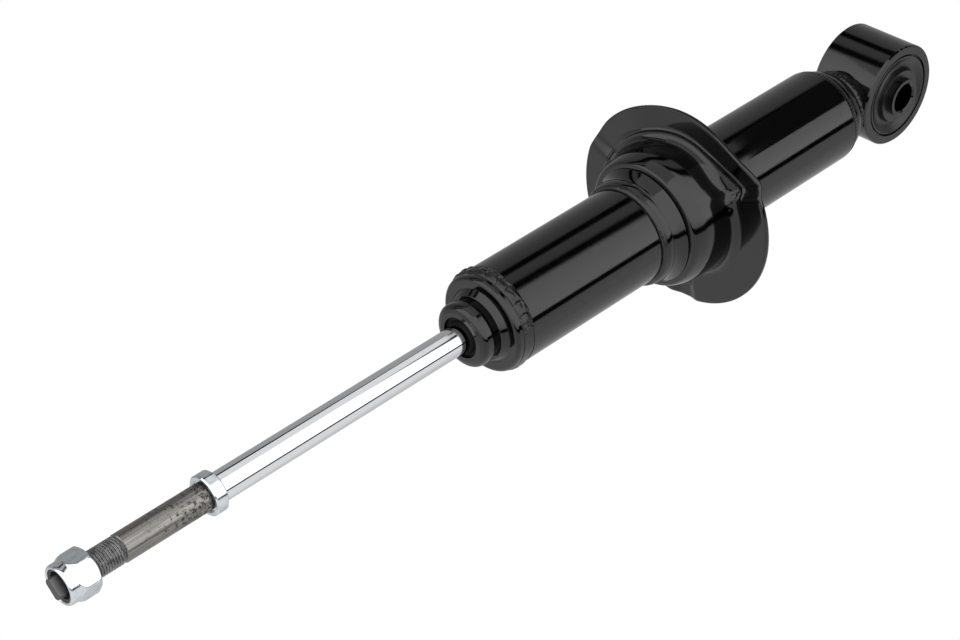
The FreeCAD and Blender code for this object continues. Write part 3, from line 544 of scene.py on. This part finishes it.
class DAMPER_OT_base(bpy.types.Operator):
    """Press the domed cup that closes the foot of the tube"""
    bl_idname = "damper.base"
    bl_label = "Base Cup"
    bl_options = {"REGISTER", "UNDO"}

    WALL = 3.5
    # Outside of the cup: share of its radius, and height above its lowest point.
    DOME = ((0.0, 0.0), (0.4, 0.4), (0.6, 1.4), (0.75, 3.2), (0.85, 5.5), (0.93, 8.4), (0.985, 12.0),
            (1.0, 15.7))
    # Inside of the cup: step in from its outside, and height above its lowest point.
    HOLLOW = ((4.4, 8.5), (6.0, 5.6), (8.5, 3.6))

    def execute(self, context):
        low, high = levels("base_cap")
        outer = reach("base_cap")
        line = [(max(outer * share, AXIS_R), low + rise) for share, rise in smooth_line(self.DOME, 4)]
        line += [(outer, high), (outer - self.WALL, high)]
        line += [(outer - inward, low + rise) for inward, rise in self.HOLLOW]
        line.append((AXIS_R, low + self.WALL))
        turned("base_cup", line, finish(gloss_paint), "damper_body", "base_cap")
        return {"FINISHED"}


# Directions round the seat, in degrees: the spring stop, the joggle, the track's far end, the radial dart
# and the rim's trimmed part.
STOP = (24, 32)
JOGGLE = (152, 164)
DROP = (236, 252)
DART = (264, 272, 276, 284)
TRIM = (20, 60, 148, 236)
# Climb of the spring track up to the joggle: direction, and share of the climb.
CLIMB = ((32, 0.0), (39, 0.21), (47, 0.41), (56, 0.49), (74, 0.5), (82, 0.53), (90, 0.59), (98, 0.69),
         (106, 0.8), (114, 0.91), (122, 0.98), (138, 1.02), (152, 1.0))
TRACK_DROP = 3.7
TRACK_CLIMB = 10.9
JOGGLE_RISE = 3.1
TRACK_FINISH = 1.2
DART_DEPTH = 2.0


def climb_share(turn):
    """Share of the climb at a direction, on a smooth curve through CLIMB."""
    turns = [point[0] for point in CLIMB]
    shares = [point[1] for point in CLIMB]
    last = len(CLIMB) - 1
    left = max(number for number in range(last) if turns[number] <= turn)
    slopes = []
    for number in (left, left + 1):
        low, high = max(number - 1, 0), min(number + 1, last)
        slopes.append((shares[high] - shares[low]) / (turns[high] - turns[low]))
    width = turns[left + 1] - turns[left]
    along = (turn - turns[left]) / width
    start = shares[left] * (1 + 2 * along) + slopes[0] * width * along
    end = shares[left + 1] * (3 - 2 * along) - slopes[1] * width * (1 - along)
    return start * (1 - along) ** 2 + end * along ** 2


def track_level(turn):
    """Height of the seat's upper face over its plain flange."""
    if turn <= STOP[1]:
        return -TRACK_DROP * between(turn, STOP)
    if turn <= JOGGLE[0]:
        return TRACK_CLIMB * climb_share(turn) - TRACK_DROP
    top = TRACK_CLIMB - TRACK_DROP + JOGGLE_RISE * between(turn, JOGGLE)
    top += TRACK_FINISH * between(turn, (JOGGLE[1], DROP[0]))
    return top * (1 - between(turn, DROP)) - DART_DEPTH * within(turn, DART)


class DAMPER_OT_spring_seat(bpy.types.Operator):
    """Press the spring seat: neck, bell, hollow and stepped track, with folds at the spring stop"""
    bl_idname = "damper.spring_seat"
    bl_label = "Spring Seat"
    bl_options = {"REGISTER", "UNDO"}

    TURNS = 480
    WALL = 2.4
    BORE_R = 27.05
    NECK_RISE = 41.2
    NECK_EDGE = 0.3
    # Groove at the neck's foot: depth, and height above the bell.
    NECK_GROOVE = ((0.0, 0.9), (0.3, 0.65), (0.45, 0.45), (0.3, 0.2))
    # Radius and depth below the neck's top: collar, groove, ledge and shoulder.
    BELL = ((29.4, 4.8), (29.7, 6.4), (30.5, 8.4), (31.6, 10.3), (32.3, 11.3), (32.5, 11.75), (32.2, 12.1),
            (31.7, 12.25), (33.0, 12.35), (34.3, 12.55), (35.3, 13.0), (36.0, 13.9), (36.6, 15.2),
            (37.2, 17.0), (37.8, 19.2), (38.2, 21.5))
    BELL_INSIDE = ((34.0, 15.0), (30.5, 13.6), (28.2, 9.0))
    BELL_R = 38.8
    # Hollow at the bell's foot, width and height, and what both gain over the directions near the stop.
    HOLLOW = (4.4, 4.8)
    HOLLOW_GAIN = 2.6
    NEAR_STOP = (20, 30, 42, 70)
    TRACK_LIP = 0.5
    RIM_R = 59.8
    TRIM_DEPTH = 2.3
    # Rounding of the rim: step in from its edge, and depth below the sheet's face.
    RIM_EDGE = ((0.5, 0.0), (0.15, 0.12), (0.0, 0.5))
    # Folds at the stop: direction, radius, and their spread in degrees and millimetres.
    FOLD_TURN = 29.0
    FOLD_R = 43.0
    FOLD_SPREAD = 4.5

    def top_line(self, neck_top, here, hollow, rim, lip):
        """Upper face of the sheet, from the bell's top to the rim."""
        wide, tall = hollow
        flat_r = self.BELL_R + wide + self.WALL
        bell = [(radius, neck_top - depth) for radius, depth in self.BELL]
        shoulder_r, shoulder = bell[-1]
        for share in (0.35, 0.7):
            bell.append((shoulder_r + (self.BELL_R - shoulder_r) * math.sqrt(share),
                         shoulder + (here + tall - shoulder) * share))
        for step in range(5):
            angle = step * math.pi / 8
            bell.append((self.BELL_R + wide * (1 - math.cos(angle)), here + tall * (1 - math.sin(angle))))
        bell += [(flat_r - self.WALL / 2, here + lip), (flat_r, here)]
        steps = 8
        width = rim - self.RIM_EDGE[0][0] - flat_r
        flange = [(flat_r + width * step / steps, here) for step in range(1, steps + 1)]
        return smooth_line(bell, 3) + flange

    def folded(self, line, turn, crumple):
        """The upper face with the sheet's folds where the spring stop meets the bell."""
        pinch = bell_curve(turn, self.FOLD_TURN, self.FOLD_SPREAD)
        if pinch <= 0.01:
            return line
        folds = []
        for radius, height in line:
            ridge = 1.0 - 2.6 * abs(rough(radius * 0.3, turn * 0.3, 3.0))
            ridge += 0.5 * rough(radius * 0.9, turn * 0.8, 7.0)
            near = bell_curve(radius, self.FOLD_R, self.FOLD_SPREAD)
            folds.append((radius, height + crumple * pinch * near * ridge))
        return folds

    def section(self, turn, neck_top, crumple):
        """Outline of the sheet at one direction, as (radius, height)."""
        here = neck_top - self.NECK_RISE + track_level(turn)
        under = here - self.WALL
        rim = self.RIM_R - self.TRIM_DEPTH * within(turn, TRIM)
        lip = self.TRACK_LIP * within(turn, STOP + DROP)
        wide, tall = (size + self.HOLLOW_GAIN * within(turn, self.NEAR_STOP) for size in self.HOLLOW)
        neck, flare = self.BELL[0][0], neck_top - self.BELL[0][1]
        inside = self.BELL_R - self.WALL

        line = [(self.BORE_R + self.NECK_EDGE, neck_top), (neck - self.NECK_EDGE, neck_top),
                (neck, neck_top - self.NECK_EDGE)]
        line += [(neck - depth, flare + rise) for depth, rise in self.NECK_GROOVE]
        line += self.folded(self.top_line(neck_top, here, (wide, tall), rim, lip), turn, crumple)
        line += [(rim - inward, here - depth) for inward, depth in self.RIM_EDGE[1:]]
        line += [(rim - inward, under + depth) for inward, depth in reversed(self.RIM_EDGE)]
        line += [(self.BELL_R + wide + self.WALL, under), (self.BELL_R + 1.0, under + 1.4),
                 (inside, here + tall), (inside, neck_top - self.BELL[-1][1])]
        line += [(radius, neck_top - depth) for radius, depth in self.BELL_INSIDE]
        return line + [(self.BORE_R, flare), (self.BORE_R, neck_top - self.NECK_EDGE)]

    def execute(self, context):
        crumple = context.scene.damper_sizes.crumple / MM
        neck_top = level("spring_seat", 1)
        swept("spring_seat_sheet", lambda turn: self.section(turn, neck_top, crumple), self.TURNS,
              finish(gloss_paint), "spring_seat", crease=50)
        return {"FINISHED"}


class DAMPER_OT_welds(bpy.types.Operator):
    """Lay the weld beads: the closing band, the seat's bead, the foot's bead and the eye's saddle"""
    bl_idname = "damper.welds"
    bl_label = "Weld Beads"
    bl_options = {"REGISTER", "UNDO"}

    TURNS = 540
    CREASE = 70
    # Directions of the closing strip's start and end, and of the lump at its start, in degrees.
    STRIP = (12, 14, 300, 330)
    LUMP = 16.0
    LUMP_SPREAD = 3.0

    def ring(self, name, node, outline):
        """A bead all round the tube; outline gives its closed section at a direction."""
        swept(name, outline, self.TURNS, finish(weld_paint), node, self.CREASE)

    def closing(self, ripple):
        """Band at the tube's end: a scaly strip that starts with a lump and runs out at the back."""
        band, spill, height, steps = 0.9, 0.9, 1.7, 18
        low, high = level("closing_weld", 0) - spill, level("closing_weld", 1)
        inner = reach("closing_weld") - band

        def outline(turn):
            strip = within(turn, self.STRIP)
            lump = bell_curve(turn, self.LUMP, self.LUMP_SPREAD)
            drift = 0.05 * rough(turn * 0.05, 1.0, 0.0)
            shift = 1.5 * rough(turn * 0.09, 3.0, 0.0)
            line = [(inner, high), (inner, low)]
            for step in range(steps + 1):
                share = step / steps
                up = low + (high - low) * share
                across = (share - 0.5 - drift) / 0.46
                crown = max(0.0, 1 - across ** 4) ** 0.5
                valley = bell_curve(math.sin(turn * 0.2 + 0.9 * across * across + shift), 0.0, 0.2) * strip
                grain = rough(turn * 0.13, up * 0.6, 5.0)
                bead = crown * (0.82 + 0.4 * grain - ripple * 1.5 * valley + 0.3 * lump)
                flush = 0.1 + 0.06 * grain
                rise = height * (flush + (bead - flush) * strip)
                line.append((inner + min(max(rise, 0.05), height), up))
            return line

        self.ring("closing_weld_bead", "closing_weld", outline)

    def neck(self, ripple):
        """Even bead on top of the seat's neck."""
        leg, slack, steps = 2.3, 0.02, 10
        low, high = levels("seat_weld")
        inner = reach("seat_weld") - leg

        def outline(turn):
            angle = math.radians(turn)
            lump = rough_round(angle, 5, 5.0)
            shift = 2.5 * rough(turn * 0.08, 4.0, 0.0)
            line = [(inner, high - slack), (inner, low)]
            for step in range(steps + 1):
                share = step / steps
                wave = 0.5 + 0.5 * math.sin(angle * 52 + share * 2.0 + shift)
                dent = max(0.0, ripple * (0.1 * wave + 0.3 * lump))
                size = 1.0 - dent * (1 - abs(2 * share - 1))
                lean = share * math.pi / 2
                line.append((inner + 0.98 * leg * math.cos(lean) * size,
                             low + (leg - slack) * math.sin(lean) * size))
            return line

        self.ring("seat_neck_bead", "seat_weld", outline)

    def foot(self, ripple):
        """Finely rippled bead round the foot of the tube."""
        leg, steps = 1.9, 10
        low, high = levels("base_weld")
        inner = reach("base_weld") - leg

        def outline(turn):
            angle = math.radians(turn)
            lump = rough_round(angle, 11, 2.0)
            shift = 0.9 * rough(turn * 0.2, 9.0, 0.0)
            line = [(inner, high), (inner, low)]
            for step in range(1, steps + 1):
                share = step / steps
                wave = 0.5 + 0.5 * math.sin(angle * 88 + 1.4 * share + shift)
                swell = math.sin(share * math.pi / 2) ** 0.7
                size = 1.0 - max(0.0, ripple * (0.6 * wave + 0.3 * lump + 0.2))
                line.append((inner + leg * swell * size, low + (high - low) * share))
            return line

        self.ring("foot_bead", "base_weld", outline)

    def saddle(self, ripple):
        """Weld metal that fills the wedge between the base cup and the eye, with a rope along its edge."""
        gap, climb, spread, steps = 0.02, 4.0, 1.8, 16
        eye_r = level("lower_eye", 1) + gap
        top = level("base_cap", 0) + climb
        outer = reach("eye_weld")
        points = []
        for turn in range(self.TURNS):
            angle = 2 * math.pi * turn / self.TURNS
            wander = rough_round(angle, 3, 2.0)
            wave = abs(math.sin(angle * 17 + 5.0 * wander)) * (0.7 + 0.6 * rough_round(angle, 7, 8.0))
            for step in range(steps + 1):
                share = step / steps
                rope = math.sin(math.pi * min(max((share - 0.4) / 0.6, 0.0), 1.0)) ** 0.8
                grain = rough(angle * 16, share * 5.0, 6.0)
                swell = 0.7 + 2.2 * ripple * wave + 0.4 * wander + 0.35 * grain
                radius = outer + spread * share + rope * swell
                x, y = radius * math.cos(angle), radius * math.sin(angle)
                on_eye = math.sqrt(max(eye_r ** 2 - y * y, 0.0))
                points.append((x, y, on_eye + (top - on_eye) * share))
        columns = steps + 1
        faces = grid_faces(self.TURNS, columns, close_rows=True, close_columns=False)
        under = len(points)
        points += [(0.0, 0.0, eye_r), (0.0, 0.0, top)]
        for turn in range(self.TURNS):
            here, after = turn * columns, (turn + 1) % self.TURNS * columns
            faces.append((under, after, here))
            faces.append((under + 1, here + steps, after + steps))
        piece("eye_saddle_weld", points, faces, finish(weld_paint), "damper_body", "eye_weld",
              self.CREASE)

    def execute(self, context):
        ripple = context.scene.damper_sizes.ripple
        self.closing(ripple)
        self.neck(ripple)
        self.foot(ripple)
        self.saddle(ripple)
        return {"FINISHED"}


class DAMPER_OT_bush(bpy.types.Operator):
    """Mould the rubber bush in the lower eye"""
    bl_idname = "damper.bush"
    bl_label = "Rubber Bush"
    bl_options = {"REGISTER", "UNDO"}

    # One half of the moulding, from the sleeve to the ring: radius, and distance from the eye's middle.
    BEAD = ((11.15, 20.1), (15.2, 20.1))
    DISH = ((15.3, 19.6), (15.6, 18.0), (16.2, 16.6), (17.6, 16.0), (19.4, 16.5), (21.2, 17.7),
            (22.4, 18.7))
    SHOULDER = ((22.9, 18.95), (23.3, 18.95), (23.55, 18.7), (23.58, 16.8), (24.68, 16.8))

    def execute(self, context):
        half = [*self.BEAD, *smooth_line(self.DISH, 4), *self.SHOULDER]
        line = half + [(radius, -along) for radius, along in reversed(half)]
        turned("bush_rubber_moulding", line, finish(bush_rubber), "damper_body",
               "eye_rubber_bush", across=True)
        return {"FINISHED"}


class DAMPER_OT_rod(bpy.types.Operator):
    """Make the rod: chromed shaft, bare stud, rolled thread and tang"""
    bl_idname = "damper.rod"
    bl_label = "Piston Rod"
    bl_options = {"REGISTER", "UNDO"}

    SPIGOT_R = 5.0
    SHAFT_R = 7.5
    STUD_R = 7.25
    STUD_LENGTH = 56.0
    # Groove round the stud: radius of its floor, and its ends above the collar's lower face.
    GROOVE_R = 7.0
    GROOVE = (5.7, 7.3)
    RUN_OUT = 0.6
    RUN_OUT_R = 6.4
    THREAD_R = 7.0
    THREAD_LEAD = 1.2
    TANG_LENGTH = 8.5
    TANG_HALF = (5.3, 2.9)
    TANG_CORNER = 1.5
    TANG_TURN = 135
    # Bevel of the tang's end: step in, and depth below its tip.
    TANG_BEVEL = ((0.0, 0.7), (0.2, 0.25), (0.7, 0.0))

    def shaft(self, collar_low):
        """Chromed shaft, with the spigot that carries the piston."""
        low, shoulder = level("piston_rod", 0), level("piston_support", 1)
        corners = [(AXIS_R, low), (self.SPIGOT_R, low), (self.SPIGOT_R, shoulder), (self.SHAFT_R, shoulder),
                   (self.SHAFT_R, collar_low), (AXIS_R, collar_low)]
        line = rounded(corners, {1: 0.5, 3: 0.5, 4: 0.2}, 4)
        turned("rod_shaft", line, finish(hard_chrome), "rod", "piston_rod")

    def stud(self, collar_low, thread_low):
        """Bare stud, from the collar to the thread."""
        groove_low, groove_high = (collar_low + rise for rise in self.GROOVE)
        line = [(AXIS_R, collar_low), (self.STUD_R, collar_low), (self.STUD_R, groove_low),
                (self.GROOVE_R, groove_low), (self.GROOVE_R, groove_high), (self.STUD_R, groove_high),
                (self.STUD_R, thread_low - self.RUN_OUT), (self.RUN_OUT_R, thread_low),
                (AXIS_R, thread_low)]
        turned("rod_stud", line, finish(stained_steel), "rod", "piston_rod")

    def thread(self, sizes, low, high):
        """The thread as one sheet of points that rises and falls along the helix."""
        pitch, depth = sizes.pitch / MM, sizes.thread_depth / MM
        steps, rows_to_pitch = 96, 12
        rows = round((high - low) / pitch * rows_to_pitch)
        points = []
        for row in range(rows + 1):
            up = low + (high - low) * row / rows
            lead = ease((up - low) / self.THREAD_LEAD)
            for step in range(steps):
                turn = step / steps
                phase = (up / pitch - turn) % 1.0
                crest = min(max(1.35 - 3.375 * abs(phase - 0.5), 0.0), 1.0)
                radius = self.THREAD_R - depth * (1 - crest * lead)
                points.append(around(radius, 2 * math.pi * turn, up))
        piece("rod_thread", points, capped_faces(rows + 1, steps), finish(dark_thread), "rod",
              "piston_rod", crease=60)

    def tang(self, low, high):
        """Flat tang that a spanner holds while the nut is turned."""
        x, y = self.TANG_HALF
        flat = rounded([(-x, -y), (x, -y), (x, y), (-x, y)], dict.fromkeys(range(4), self.TANG_CORNER), 6)
        outline = [Matrix.Rotation(math.radians(self.TANG_TURN), 2) @ Vector(point) for point in flat]
        rows = [(0.0, low)] + [(inward, high - depth) for inward, depth in self.TANG_BEVEL]
        points = []
        for inward, up in rows:
            points += [(*(point * (1 - inward / self.THREAD_R)), up) for point in outline]
        # The tang's material is darkened as painted shade for the shadow inside the nut's mouth.
        piece("rod_tang", points, capped_faces(len(rows), len(outline)), finish(tang_steel_painted_shade), "rod",
              "piston_rod", crease=30)

    def execute(self, context):
        collar_low = level("stud_collar", 0)
        thread_low = collar_low + self.STUD_LENGTH
        tip = level("piston_rod", 1)
        tang_low = tip - self.TANG_LENGTH
        self.shaft(collar_low)
        self.stud(collar_low, thread_low)
        self.thread(context.scene.damper_sizes, thread_low, tang_low)
        self.tang(tang_low, tip)
        coat("stud_collar", finish(bright_zinc))
        return {"FINISHED"}


class DAMPER_OT_lock_nut(bpy.types.Operator):
    """Make the lock nut: bevelled hexagon and rolled collar, with a pocket for the locking ring"""
    bl_idname = "damper.lock_nut"
    bl_label = "Lock Nut"
    bl_options = {"REGISTER", "UNDO"}

    TURNS = 360
    FLATS = 21.0
    # Direction of one corner, in degrees.
    CORNER = 6.0
    CORNER_CUT = 0.3
    # How softly the bevels run into the flats.
    SOFT = 0.25
    BORE_R = 7.05
    BORE_BEVEL = (0.55, 0.8)
    FOOT_R = 10.1
    FOOT_BEVEL = 1.3
    HEX_HEIGHT = 11.6
    HEX_BEVEL = 3.5
    HEX_END_R = 10.4
    COLLAR_R = 10.3
    ROLL = (1.2, 1.8)
    # Mouth of the collar and pocket of the locking ring: radius, and depth below the nut's top.
    MOUTH = ((9.1, 0.0), (8.6, 0.1), (8.4, 0.4), (8.4, 1.1), (8.92, 1.1), (8.92, 4.7), (7.05, 4.7))

    def outline(self, low, high):
        """Section of the nut through its corners, as (radius, height)."""
        widest = self.FLATS / math.sqrt(3) - self.CORNER_CUT
        hex_top = low + self.HEX_HEIGHT
        bevel_low = hex_top - self.HEX_BEVEL
        wide, tall = self.ROLL
        rows = [(self.BORE_R, low + self.BORE_BEVEL[1]), (self.BORE_R + self.BORE_BEVEL[0], low),
                (self.FOOT_R, low)]
        for step in range(1, 13):
            share = step / 12
            rows.append((self.FOOT_R + (widest - self.FOOT_R) * share, low + self.FOOT_BEVEL * share ** 1.4))
        rows += [(widest, low + 3.0), (widest, bevel_low - 0.1)]
        for step in range(25):
            share = step / 24
            rows.append((widest + (self.HEX_END_R - widest) * share ** 1.7,
                         bevel_low + self.HEX_BEVEL * share))
        rows += [(self.COLLAR_R, hex_top + 0.3), (self.COLLAR_R, high - tall)]
        for step in range(1, 8):
            angle = step * math.pi / 16
            rows.append((self.COLLAR_R - wide * (1 - math.cos(angle)), high - tall * (1 - math.sin(angle))))
        return rows + [(radius, high - depth) for radius, depth in self.MOUTH]

    def execute(self, context):
        rows = self.outline(*levels("lock_nut"))
        points = []
        for radius, up in rows:
            for step in range(self.TURNS):
                turn = 360.0 * step / self.TURNS
                side = self.FLATS / 2 / math.cos(math.radians(turn % 60.0 - 30.0))
                share = min(max(0.5 + 0.5 * (side - radius) / self.SOFT, 0.0), 1.0)
                out = side + (radius - side) * share - self.SOFT * share * (1 - share)
                points.append(around(out, math.radians(turn + self.CORNER), up))
        faces = grid_faces(len(rows), self.TURNS, close_rows=True)
        piece("lock_nut_body", points, faces, finish(bright_zinc), "top_nut", "lock_nut", crease=50)
        return {"FINISHED"}


class DAMPER_OT_inside(bpy.types.Operator):
    """Finish the pieces inside the damper and the nut's locking ring"""
    bl_idname = "damper.inside"
    bl_label = "Inner Pieces"
    bl_options = {"REGISTER", "UNDO"}

    def execute(self, context):
        groups = {
            pressed_iron: ("rod_guide", "foot_valve_body", "piston"),
            lined_bronze: ("guide_bush",),
            moulded_plastic: ("piston_band", "nut_insert"),
            bush_rubber: ("oil_seal", "guide_o_ring", "rebound_buffer"),
            machined_steel: ("pressure_tube", "foot_valve_discs", "check_plate", "check_spring",
                             "foot_valve_rivet", "rebound_stop", "piston_support", "intake_plate",
                             "rebound_discs", "disc_spacer", "piston_nut"),
        }
        for make, nodes in groups.items():
            for node in nodes:
                coat(node, finish(make))
        return {"FINISHED"}


class DAMPER_OT_stage(bpy.types.Operator):
    """Set the floor, the light and the camera"""
    bl_idname = "damper.stage"
    bl_label = "Studio"
    bl_options = {"REGISTER", "UNDO"}

    # The camera's own axes.
    RIGHT = Vector((0.70392453, -0.03488168, -0.70941774))
    UP = Vector((-0.40143078, 0.80443636, -0.43787609))
    BACK = Vector((0.58595527, 0.59301384, 0.55225991))
    SENSOR = 36.0
    # The lens's axis passes half a pixel from the middle of a picture 960 pixels wide.
    HALF_PIXEL = 0.5 / 960
    FLOOR_HALF = 6.0
    MATT = 0.9
    PALE = (0.9, 0.9, 0.9, 1.0)
    DARK = (0.01, 0.01, 0.01, 1.0)
    WHITE = (1.0, 1.0, 1.0, 1.0)
    # Cards: directions round the damper in degrees, and the radius or heights of their edges.
    BLACK_TURNS = (44, 56, 68, 80, 92, 104)
    BLACK_RADII = (0.07, 0.21)
    WHITE_TURNS = (78.5, 89, 100, 111, 121)
    WHITE_R = 0.34
    WHITE_HEIGHTS = (0.105, 0.42)
    WHITE_GLOW = 0.95
    # Upright seam between two panels, to the right of the damper.
    SEAM_TURN = -6.0

    def flat_piece(self, name, points, faces):
        """A piece of the stage, and its mesh."""
        mesh = bpy.data.meshes.new(name)
        mesh.from_pydata(points, [], faces)
        made = bpy.data.objects.new(name, mesh)
        bpy.context.scene.collection.objects.link(made)
        return made, mesh

    def floor(self):
        """Pale floor that shows plain white to the camera and isn't seen in reflections."""
        low, half = CAD_BOX[0].z, self.FLOOR_HALF
        corners = [(x, y, low) for x, y in ((-half, -half), (half, -half), (half, half), (-half, half))]
        floor, mesh = self.flat_piece("floor", corners, [(0, 1, 2, 3)])
        floor.visible_glossy = False
        material, tree, shader = new_material("pale_floor")
        shader.inputs["Base Color"].default_value = self.PALE
        shader.inputs["Roughness"].default_value = self.MATT
        white = add_node(tree, "ShaderNodeEmission", Strength=1.0)
        white_to_camera(tree, shader.outputs["BSDF"], white.outputs["Emission"],
                        tree.nodes["Material Output"])
        mesh.materials.append(material)

    def card(self, name, turns, edges, glow):
        """A card beside the damper that is seen only in reflections; edges are (radius, height)."""
        points = [around(radius, math.radians(turn), height) for turn in turns for radius, height in edges]
        card, mesh = self.flat_piece(name, points, grid_faces(len(turns), len(edges), close_columns=False))
        for kind in ("visible_camera", "visible_diffuse", "visible_transmission", "visible_shadow"):
            setattr(card, kind, False)
        material, tree, shader = new_material(name)
        shader.inputs["Base Color"].default_value = self.DARK
        shader.inputs["Roughness"].default_value = self.MATT
        shader.inputs["Emission Color"].default_value = self.WHITE
        shader.inputs["Emission Strength"].default_value = glow
        mesh.materials.append(material)

    def cards(self):
        """A black card on the floor and a bright one that stands beside the rod."""
        low = CAD_BOX[0].z + MM
        self.card("black_card", self.BLACK_TURNS, [(radius, low) for radius in self.BLACK_RADII], 0.0)
        self.card("white_card", self.WHITE_TURNS, [(self.WHITE_R, height) for height in self.WHITE_HEIGHTS],
                  self.WHITE_GLOW)

    def studio_light(self, studio):
        """Light panels round the damper as bands of the sky, with dark seams between them."""
        world = bpy.data.worlds.new("studio")
        bpy.context.scene.world = world
        world.use_nodes = True
        tree = world.node_tree
        panels = tree.nodes["Background"]
        way = add_node(tree, "ShaderNodeTexCoord").outputs["Generated"]

        def along(direction):
            node = add_node(tree, "ShaderNodeVectorMath", operation="DOT_PRODUCT")
            tree.links.new(way, node.inputs[0])
            node.inputs[1].default_value = direction
            return node.outputs["Value"]

        # Directions run up from the camera's line of sight, over the damper and down behind it, in degrees.
        table, front, ceiling, rear = studio.table, studio.front, studio.ceiling, studio.rear
        bands = ((-180, 0.6 * table), (-150, 0.68 * table), (-115, table), (-50, table), (-20, front),
                 (40, front), (64, 0.85 * front), (68, 0.0), (75, 0.0), (78, ceiling), (89, ceiling),
                 (91.5, 0.0), (98.5, 0.0), (102, rear), (165, rear), (180, 0.6 * table))
        swing = math_node(tree, "ARCTAN2", along(self.UP), along(self.BACK))
        share = math_node(tree, "ADD", math_node(tree, "DIVIDE", swing, 2 * math.pi), 0.5)
        glow = ramp_node(tree, share, [(degrees / 360.0 + 0.5, shade) for degrees, shade in bands])

        turn = math.radians(self.SEAM_TURN)
        sideways = math_node(tree, "ABSOLUTE", along((-math.sin(turn), math.cos(turn), 0.0)))
        ahead = math_node(tree, "GREATER_THAN", along((math.cos(turn), math.sin(turn), 0.0)), 0.5)
        seam = math_node(tree, "MULTIPLY", ramp_node(tree, sideways, [(0.06, 1.0), (0.1, 0.0)]), ahead)
        tree.links.new(mix_colours(tree, seam, glow, (0.0, 0.0, 0.0)), panels.inputs["Color"])
        white = add_node(tree, "ShaderNodeBackground", Strength=1.0, Color=self.WHITE)
        white_to_camera(tree, panels.outputs["Background"], white.outputs["Background"],
                        tree.nodes["World Output"])

    def camera(self, studio):
        """Camera in front of the damper, above it and to its side."""
        camera = bpy.data.objects.new("camera", bpy.data.cameras.new("camera"))
        bpy.context.scene.collection.objects.link(camera)
        turn = Matrix((self.RIGHT, self.UP, self.BACK)).transposed().to_4x4()
        camera.matrix_world = Matrix.Translation(studio.camera_at) @ turn
        camera.data.sensor_width = self.SENSOR
        camera.data.lens = studio.lens
        camera.data.shift_x, camera.data.shift_y = -self.HALF_PIXEL, self.HALF_PIXEL
        camera.data.clip_start, camera.data.clip_end = 0.01, 50.0
        bpy.context.scene.camera = camera

    def execute(self, context):
        studio = context.scene.damper_studio
        context.scene.view_settings.view_transform = "Standard"
        self.floor()
        self.cards()
        self.studio_light(studio)
        self.camera(studio)
        return {"FINISHED"}


class DAMPER_PT_pieces(bpy.types.Panel):
    """Lists the damper's settings and its pieces"""
    bl_idname = "DAMPER_PT_pieces"
    bl_label = "Shock Absorber"
    bl_space_type = "VIEW_3D"
    bl_region_type = "UI"
    bl_category = "Damper"

    def draw(self, context):
        layout = self.layout
        for name in SETTINGS:
            group = getattr(context.scene, name)
            box = layout.box()
            for key in group.__annotations__:
                box.prop(group, key)
        for operator in PIECES:
            layout.operator(operator.bl_idname)


SETTINGS = {"damper_colours": DamperColours, "damper_sizes": DamperSizes, "damper_studio": DamperStudio}
PIECES = (DAMPER_OT_shell, DAMPER_OT_base, DAMPER_OT_spring_seat, DAMPER_OT_welds, DAMPER_OT_bush,
          DAMPER_OT_rod, DAMPER_OT_lock_nut, DAMPER_OT_inside, DAMPER_OT_stage)
CLASSES = (*SETTINGS.values(), *PIECES, DAMPER_PT_pieces)


def register():
    for item in CLASSES:
        bpy.utils.register_class(item)
    for name, group in SETTINGS.items():
        setattr(bpy.types.Scene, name, PointerProperty(type=group))


def unregister():
    for name in SETTINGS:
        delattr(bpy.types.Scene, name)
    for item in reversed(CLASSES):
        bpy.utils.unregister_class(item)


def main():
    register()
    for operator in PIECES:
        group, name = operator.bl_idname.split(".")
        getattr(getattr(bpy.ops, group), name)()
    bpy.context.view_layer.update()


if __name__ == "__main__":
    main()
